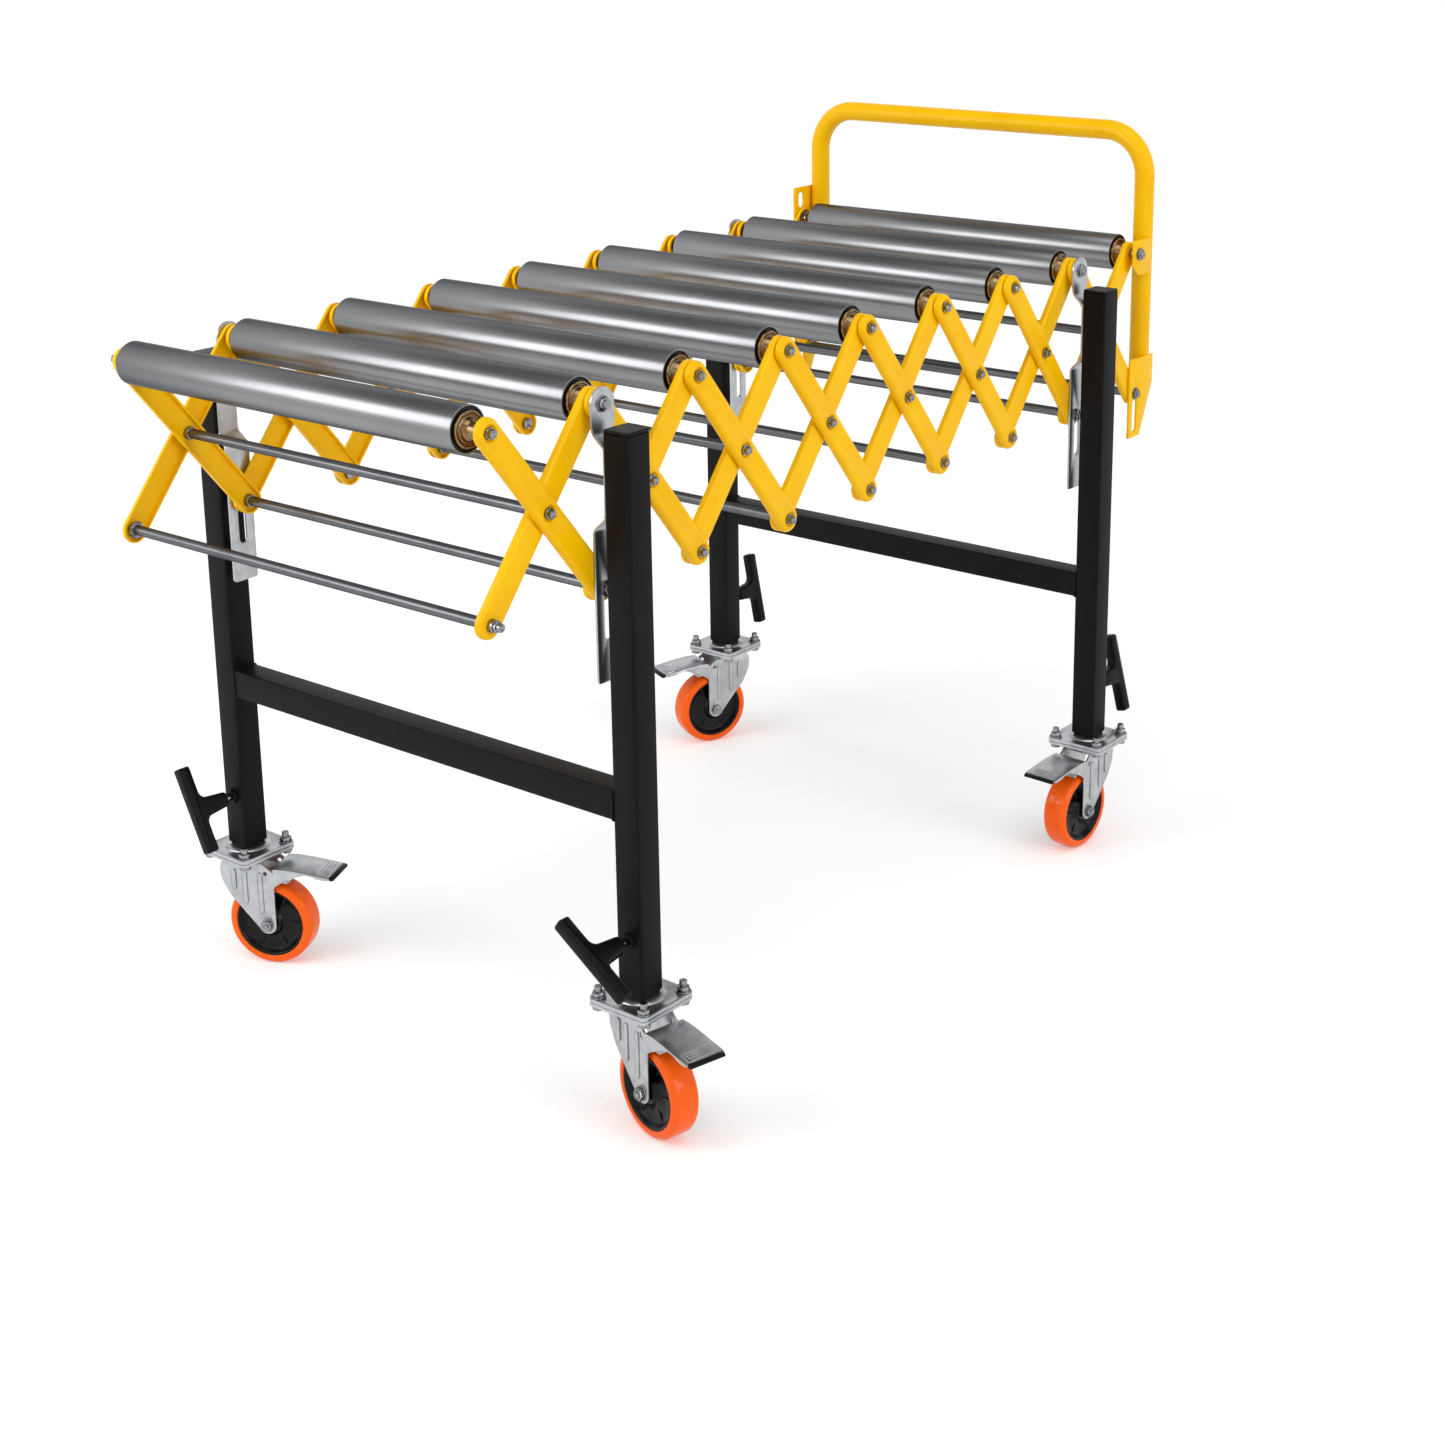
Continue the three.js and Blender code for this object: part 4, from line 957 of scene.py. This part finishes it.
def race():
    """Pressed cone of the ball race under the castor plate, and the kingpin with its head."""
    cone = turned(RACE_PROFILE, RACE_EDGE, RACE_ROUND)
    pin = disc(KINGPIN_RADIUS, KINGPIN_HEAD_TOP - 0.2, 0, 0)
    head = disc(KINGPIN_HEAD_RADIUS, KINGPIN_HEAD_BOTTOM, KINGPIN_HEAD_TOP, KINGPIN_HEAD_EDGE)
    return [cone, pin, head]


def both_cheeks(shape):
    """A shape drawn at the right cheek, and its mirror image at the left one."""
    return [shape, flipped(shape.copy(), (1, -1, 1))]


def cheek_outline():
    u, v = PEDAL_PIVOT
    notch_height, notch_radius = FORK_NOTCH
    notch_u = CASTOR_TRAIL + FORK_END_RADIUS + notch_radius
    points = [(27, FORK_TOP - 1), (-24, FORK_TOP), (-29, FORK_TOP - 4), (-31, -18), (-29, -32), (-19, -52)]
    points += arc(CASTOR_TRAIL, WHEEL_AXLE_Z, FORK_END_RADIUS, 205, 360, 14)
    points += arc(notch_u, notch_height, notch_radius, 180, 110, 5)
    points += arc(u, v, PEDAL_EAR_RADIUS, -60, 90, 10)
    points += [(u - 10, v + PEDAL_EAR_RADIUS), (30, -9.4)]
    return points


def cheek_rib(x, top, bottom):
    """Long rounded rib pressed out of a cheek."""
    radius = RIB_WIDTH / 2
    ends = arc(x, top, radius, 0, 180, 8) + arc(x, bottom, radius, 180, 360, 8)
    return moved(plate(ends, RIB_HEIGHT, RIB_EDGE, steps=3), GROW_BACK, (0, -FORK_OUTER + RIB_SINK, 0))


def fork():
    """Two pressed cheeks, joined by a crown and by a bridge under it."""
    radius, u, v = FORK_HOLE
    cheek = plate(cheek_outline(), FORK_THICKNESS, FORK_EDGE, [circle(radius, 12, u, v)])
    cheek = moved(cheek, GROW_BACK, (0, -FORK_INNER, 0))
    pairs = [both_cheeks(shape) for shape in (cheek, *[cheek_rib(*rib) for rib in RIBS])]
    bridge = plate(rounded_box(BRIDGE_LENGTH, 2 * FORK_OUTER, 6), BRIDGE_THICKNESS, 1.2, steps=3)
    return [
        turned(CROWN_PROFILE, CROWN_EDGE, RACE_ROUND),
        *[pair[1] for pair in pairs],
        *[pair[0] for pair in pairs],
        moved(bridge, (2, 0, FORK_TOP - BRIDGE_THICKNESS - 0.2)),
    ]


def wheel_axle():
    """Axle through both cheeks, with a nut outside and a spacer inside each of them."""
    radius, low, high = AXLE_SPACER
    ways = (0, 180)
    parts = []
    for way in ways:
        stack = nut(AXLE_NUT_RADIUS, NUT_THICKNESS, CASTOR_BOLT_RADIUS)
        parts += [moved(s, GROW_BACK, (0, -FORK_OUTER, 0), turn("Z", way)) for s in stack]
    parts.append(moved(disc(WHEEL_AXLE_RADIUS, -FORK_OUTER, FORK_OUTER, 0), GROW_BACK))
    for way in ways:
        spacer = disc(radius, low, high, 0.4, hole=WHEEL_AXLE_RADIUS)
        parts.append(moved(spacer, GROW_BACK, turn("Z", way)))
    return [moved(s, (CASTOR_TRAIL, 0, WHEEL_AXLE_Z)) for s in parts]


def wheel_ring(side, edge, steps):
    """A ring with the same [radius, height] outline on both sides of the wheel."""
    other = [(r, -h) for r, h in reversed(side)]
    return moved(turned([*other, *side], edge, steps), GROW_BACK)


def tread():
    half, rim, shoulder = WHEEL_HALF_WIDTH, WHEEL_RADIUS - TREAD_DEPTH, TREAD_SHOULDER
    crown = [(r, h) for h, r in arc(half - shoulder, WHEEL_RADIUS - shoulder, shoulder, 90, 8, 7)]
    side = [*crown, (rim + 1.5, half), (rim, half - 1), (rim, half - 5)]
    return wheel_ring(side, 0, BIG_ROUND)


def wheel_core():
    """Dished wheel centre with a stepped hub and shallow webs."""
    half, rim = WHEEL_HALF_WIDTH, WHEEL_RADIUS - TREAD_DEPTH
    bowl = [(rim - 0.2, half - 0.8), (rim - 2.6, half - 0.8), (rim - 4, half - 3), (rim - 7, half - 7.5)]
    hub = [(30, half - 9), (19, half - 7), (16, half - 4.4), (14.6, half - 1.4)]
    hub += [(13, half - 0.6), (5.4, half - 0.6)]
    shapes = [wheel_ring([*bowl, *hub], 0.7, WHEEL_CORE_ROUND)]
    for k in range(WEB_COUNT):
        web = plate(rounded_box(*WEB_SIZE, 2), 2 * (half - WEB_INSET), 1.6)
        place = shift(WEB_PLACE, 0, WEB_INSET - half)
        shapes.append(moved(web, place, turn("Z", 360 / WEB_COUNT * k), GROW_BACK))
    return shapes


def pedal():
    """Stamped foot plate that slopes down to its tip, with side flanges, hinge ears, a ridged grip pad, the
    hinge pin and the brake shoe."""
    u, v = PEDAL_PIVOT
    slope_start, slope_end = u + 46, PEDAL_REACH - 5
    top = [(u - 8, -11.8), (u + 6, -11.2), (u + 26, -12.4), (slope_start, -14.8), (slope_end, -17.4)]
    profile = [*top, *[(x - 0.6, z - PEDAL_THICKNESS) for x, z in reversed(top)]]
    sheet = plate(profile, 2 * PEDAL_HALF_WIDTH, 0.9)
    shapes = [moved(sheet, GROW_BACK, (0, PEDAL_HALF_WIDTH, 0))]
    ear = arc(u, v, PEDAL_EAR_RADIUS, 180, 300, 8)
    ear += [(u + 22, -20.5), (u + 34, -16.5), (u + 20, -13), (u - 7, -13.5)]
    ear = moved(plate(ear, PEDAL_SHEET, 0.5), GROW_BACK, (0, -FORK_OUTER - SIDE_GAP, 0))
    skirt = [(u + 44, -15.4), (u + 50, -19.6), (u + 60, -20.8)]
    skirt += [(PEDAL_REACH - 8, -20.8), (PEDAL_REACH - 6, -18)]
    skirt = moved(plate(skirt, PEDAL_SHEET, 0.7), GROW_BACK, (0, PEDAL_SHEET - PEDAL_HALF_WIDTH, 0))
    shapes += [*both_cheeks(ear), *both_cheeks(skirt)]
    radius, reach = PEDAL_PIN
    shapes.append(moved(disc(radius, -reach, reach, 0.4), GROW_BACK, (u, 0, v)))
    slope = Matrix.Rotation(atan2(top[-2][1] - top[-1][1], slope_end - slope_start), 4, "Y")
    pad = plate(rounded_box(*PAD_SIZE, 3), 1.6)
    shapes.append(moved(pad, slope, (u + 58, 0, -16.8)))
    along, down = RIDGE_STEP
    for k in range(RIDGE_COUNT):
        ridge = plate(rounded_box(*RIDGE_SIZE, 1), 1.2, 0.6)
        shapes.append(moved(ridge, slope, (u + 51.4 + along * k, 0, -15.0 + down * k)))
    shoe = [(u - 2, v), (u + 3.4, v - 9.6), (u + 8.6, v - 9.6), (u + 2.6, v)]
    shapes.append(moved(plate(shoe, SHOE_WIDTH, 0.6), GROW_BACK, (0, SHOE_WIDTH / 2, 0)))
    return shapes


def pedal_tip():
    reach = PEDAL_REACH
    nose = arc(reach - 2.2, -19.6, 2.2, 60, -60, 5)
    outline = [(reach - 6.6, -16.8), (reach - 1.6, -17), *nose, (reach - 6.6, -21.6)]
    return moved(plate(outline, PEDAL_TIP_WIDTH), GROW_BACK, (0, PEDAL_TIP_WIDTH / 2, 0))


def add_castor(corner, castor_place):
    carrier, fork_body = f"inner_leg_{corner}", f"castor_fork_{corner}"
    swivel = castor_place @ turn("Z", HEADINGS[corner])
    piece(
        f"castor_top_plate_{corner}", [mount_plate(CASTOR_PLATE_THICKNESS), *race()], zinc, carrier,
        "zinc_plate", f"castor_plate_{corner}", place=castor_place,
    )
    piece(f"mount_bolts_{corner}", mount_bolts(), nut_zinc, carrier, "zinc_plate", place=castor_place)
    piece(f"swivel_fork_{corner}", fork(), zinc, fork_body, "zinc_plate", fork_body, place=swivel)
    piece(f"wheel_axle_{corner}", wheel_axle(), nut_zinc, fork_body, "zinc_plate", place=swivel)
    wheel = swivel @ shift(CASTOR_TRAIL, 0, WHEEL_AXLE_Z)
    wheel_body = f"castor_wheel_{corner}"
    piece(
        f"wheel_tread_{corner}", [tread()], tread_orange, wheel_body, "orange_polyurethane", wheel_body,
        place=wheel,
    )
    piece(f"wheel_centre_{corner}", wheel_core(), core_black, wheel_body, "black_plastic", place=wheel)
    pedal_body = f"brake_pedal_{corner}"
    piece(f"brake_plate_{corner}", pedal(), zinc, pedal_body, "zinc_plate", pedal_body, place=swivel)
    piece(f"brake_tip_{corner}", [pedal_tip()], nylon, pedal_body, "black_plastic", place=swivel)


for end, station in zip(("front", "rear"), LEG_STATIONS):
    add_leg_frame(end, station)


# Push handle


def run(shape, edges, way):
    """Draws an open tube's end rim straight on, and gives the new rim."""
    made = bmesh.ops.extrude_edge_only(shape, edges=edges)["geom"]
    bmesh.ops.translate(shape, verts=[v for v in made if isinstance(v, bmesh.types.BMVert)], vec=way)
    return [e for e in made if isinstance(e, bmesh.types.BMEdge)]


def bend(shape, edges, centre, degrees, steps=14):
    """Sweeps an open tube's end rim round a bend, and gives the new rim."""
    verts = list({v for e in edges for v in e.verts})
    made = bmesh.ops.spin(
        shape, geom=verts + edges, cent=centre, axis=(0, 1, 0), angle=radians(degrees), steps=steps
    )
    return [e for e in made["geom_last"] if isinstance(e, bmesh.types.BMEdge)]


def handle_tube():
    shape = bmesh.new()
    ring = bmesh.ops.create_circle(shape, segments=SMALL_ROUND, radius=HANDLE_RADIUS)["verts"]
    bmesh.ops.translate(shape, verts=ring, vec=(HANDLE_X, HANDLE_SETBACK, HANDLE_BOTTOM))
    edges = shape.edges[:]
    bend_x, bend_z = HANDLE_X - HANDLE_CORNER, HANDLE_TOP - HANDLE_CORNER
    edges = run(shape, edges, (0, 0, bend_z - HANDLE_BOTTOM))
    edges = bend(shape, edges, (bend_x, HANDLE_SETBACK, bend_z), -90)
    edges = run(shape, edges, (-2 * bend_x, 0, 0))
    edges = bend(shape, edges, (-bend_x, HANDLE_SETBACK, bend_z), -90)
    run(shape, edges, (0, 0, HANDLE_BOTTOM - bend_z))
    bmesh.ops.holes_fill(shape, edges=[e for e in shape.edges if e.is_boundary])
    faces_outward(shape)
    return round_edges(shape, HANDLE_EDGE, 2)


def handle_plate(outline, holes, side):
    made = plate(outline, PLATE_THICKNESS, HANDLE_PLATE_EDGE, holes)
    return mirrored(moved(made, GROW_X, (SIDE_PLATE[0], 0, 0)), side)


def handle_ear(side):
    """Upper plate, which is taller and slotted on the left side."""
    half, back, low = ARM_WIDTH / 2, HANDLE_SETBACK, EAR_BOTTOM
    top = EAR_TOP if side > 0 else TALL_EAR_TOP
    outline = [(-half, -half), (0, low), (back, low), (back, top), (-half + 2, top), (-half, top - 2)]
    return handle_plate(outline, [] if side > 0 else [upright_slot(*EAR_SLOT)], side)


def handle_foot(side):
    """Lower plate, slotted for the last bottom pin."""
    half, back, low, top = ARM_WIDTH / 2, HANDLE_SETBACK + HANDLE_RADIUS, FOOT_BOTTOM, FOOT_TOP
    outline = [(-half, low), (half, low), (back, HANDLE_BOTTOM), (back, top), (-half, top)]
    return handle_plate(outline, [upright_slot(PIN_SLOT_RADIUS, -FOLDED_RISE, -RISE)], side)


handle_parts = [handle_tube(), *[make(side) for side in SIDES for make in (handle_ear, handle_foot)]]
piece(
    "push_handle_tube", handle_parts, powder_yellow, "push_handle", "yellow_paint", "push_handle",
    place=shift(0, (ROLLERS - 1) * PITCH, 0),
)


# Floor, light and camera


def seen_directly(tree):
    """1 for a ray from the camera or one that a gloss reflects or glass lets through, and otherwise 0."""
    path = add(tree, "ShaderNodeLightPath").outputs
    seen = path["Is Camera Ray"]
    for other in (path["Is Glossy Ray"], path["Is Transmission Ray"]):
        seen = add(tree, "ShaderNodeMath", {"operation": "MAXIMUM"}, _0=seen, _1=other).outputs[0]
    return seen


# Light that the paper adds where it is seen, so that it ends as white as the walls
FLOOR_LIFT = 0.22
paper = bpy.data.materials.new("white_studio_paper")
paper.use_nodes = True
paper_tree = paper.node_tree
paper_tree.nodes.clear()
lift = add(
    paper_tree, "ShaderNodeMath", {"operation": "MULTIPLY"}, _0=seen_directly(paper_tree), _1=FLOOR_LIFT
)
glow = add(paper_tree, "ShaderNodeEmission", Color=(1, 1, 1, 1), Strength=lift.outputs[0])
matt = add(paper_tree, "ShaderNodeBsdfDiffuse", Color=colour("#F9F9F9"))
both = add(paper_tree, "ShaderNodeAddShader", _0=glow.outputs[0], _1=matt.outputs[0])
add(paper_tree, "ShaderNodeOutputMaterial", Surface=both.outputs[0])

# The floor is four sheets of paper, one under each castor, in metres. Each goes down with its inner leg when
# that is let out, so that a castor never sinks into the floor. They overlap, each a hair lower than the one
# before.
SHEET_HALF_SIZE, SHEET_OVERLAP, SHEET_TOP, SHEET_STEP = 20, 0.02, -0.001, 0.00003


def floor_sheet(corner, across, along, height):
    sheet = bmesh.new()
    bmesh.ops.create_grid(sheet, x_segments=1, y_segments=1, size=SHEET_HALF_SIZE)
    away = SHEET_HALF_SIZE - SHEET_OVERLAP
    bmesh.ops.translate(sheet, verts=sheet.verts[:], vec=(across * away, along * away, height))
    mesh = bpy.data.meshes.new(f"floor_{corner}")
    sheet.to_mesh(mesh)
    sheet.free()
    mesh.materials.append(paper)
    made = bpy.data.objects.new(f"floor_{corner}", mesh)
    bpy.context.collection.objects.link(made)
    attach(made, f"inner_leg_{corner}")


CORNERS = (("front_right", 1, -1), ("front_left", -1, -1), ("rear_right", 1, 1), ("rear_left", -1, 1))
for k, (corner, side, way) in enumerate(CORNERS):
    floor_sheet(corner, side, way, SHEET_TOP - k * SHEET_STEP)

# The studio's walls are white where they are seen and its ceiling is darker, which gives the rollers their
# dark upper bands. The one turns into the other between two heights on the sky's unit ball.
WALL_LIGHT, CEILING_LIGHT = 0.75, 0.2
WALL_TOP, CEILING_START = 0.48, 0.85
world = bpy.data.worlds.new("studio")
world.use_nodes = True
sky = world.node_tree
sky.nodes.clear()
looking = add(sky, "ShaderNodeTexCoord").outputs["Generated"]
height = add(sky, "ShaderNodeSeparateXYZ", Vector=looking).outputs["Z"]
wall = add(
    sky, "ShaderNodeMapRange", Value=seen_directly(sky), To_Min=WALL_LIGHT, To_Max=1.0
).outputs["Result"]
shade = add(
    sky, "ShaderNodeMapRange", {"interpolation_type": "SMOOTHSTEP"}, Value=height, From_Min=WALL_TOP,
    From_Max=CEILING_START, To_Min=wall, To_Max=CEILING_LIGHT,
).outputs["Result"]
back = add(sky, "ShaderNodeBackground", Color=(1, 1, 1, 1), Strength=shade)
add(sky, "ShaderNodeOutputWorld", Surface=back.outputs[0])
bpy.context.scene.world = world


def lamp(name, kind, toward, **settings):
    """A lamp that shines along a direction."""
    light = bpy.data.lights.new(name, kind)
    for key, value in settings.items():
        setattr(light, key, value)
    made = bpy.data.objects.new(name, light)
    made.rotation_euler = Vector(toward).to_track_quat("-Z", "Y").to_euler()
    bpy.context.collection.objects.link(made)
    return made


def from_sky(azimuth, elevation):
    """The way that light travels from an azimuth, in degrees from -Y towards +X, and an elevation."""
    a, e = radians(azimuth), radians(elevation)
    return (-sin(a) * cos(e), cos(a) * cos(e), -sin(e))


lamp("overhead_light", "SUN", from_sky(azimuth=45, elevation=72), energy=1.0, angle=radians(50))
lamp("right_light", "SUN", from_sky(azimuth=90, elevation=20), energy=0.75, angle=radians(30))
# Gives the rollers their bright band. Its place and size are in metres.
SOFTBOX_PLACE, SOFTBOX_WIDTH, SOFTBOX_HEIGHT, SOFTBOX_LIGHT = (-1.4, -2.25, 1.75), 2.25, 1.4, 2.8
front_softbox = lamp(
    "front_softbox", "AREA", (0, 1, 0), shape="RECTANGLE", size=SOFTBOX_WIDTH, size_y=SOFTBOX_HEIGHT,
    energy=SOFTBOX_LIGHT * 4 * SOFTBOX_WIDTH * SOFTBOX_HEIGHT,
)
front_softbox.location = SOFTBOX_PLACE
front_softbox.visible_camera = False

# Camera where the photograph was taken from. Its angles, distance and aim are in the stand's frame, and its
# focal length and centre in the photograph's pixels.
AZIMUTH, ELEVATION, ROLL = 38.306, 15.062, -0.583
DISTANCE = 3101.0
AIM = (0, 810.0, -263.9)
FOCAL_PX, CENTRE_X, CENTRE_Y, FRAME_PX = 2289.45, 766.16, 473.82, 1445
SENSOR_WIDTH = 36
FARTHEST_SEEN = 200

camera_data = bpy.data.cameras.new("photo_camera")
camera_data.sensor_width = SENSOR_WIDTH
camera_data.lens = FOCAL_PX / FRAME_PX * SENSOR_WIDTH
camera_data.shift_x = 0.5 - CENTRE_X / FRAME_PX
camera_data.shift_y = CENTRE_Y / FRAME_PX - 0.5
camera_data.clip_end = FARTHEST_SEEN
camera_data.dof.use_dof = False
camera = bpy.data.objects.new("photo_camera", camera_data)
bpy.context.collection.objects.link(camera)
az, el = radians(AZIMUTH), radians(ELEVATION)
backward = Vector((sin(az) * cos(el), -cos(az) * cos(el), sin(el)))
rightward = Vector((cos(az), sin(az), 0))
upward = backward.cross(rightward)
spin = radians(ROLL)
right = cos(spin) * rightward + sin(spin) * upward
up = cos(spin) * upward - sin(spin) * rightward
turned_to = Matrix((right, up, backward)).transposed().to_4x4()
camera.matrix_world = Matrix.Translation(STAND @ (Vector(AIM) + backward * DISTANCE)) @ turned_to
bpy.context.scene.camera = camera
bpy.context.scene.view_settings.view_transform = "Standard"
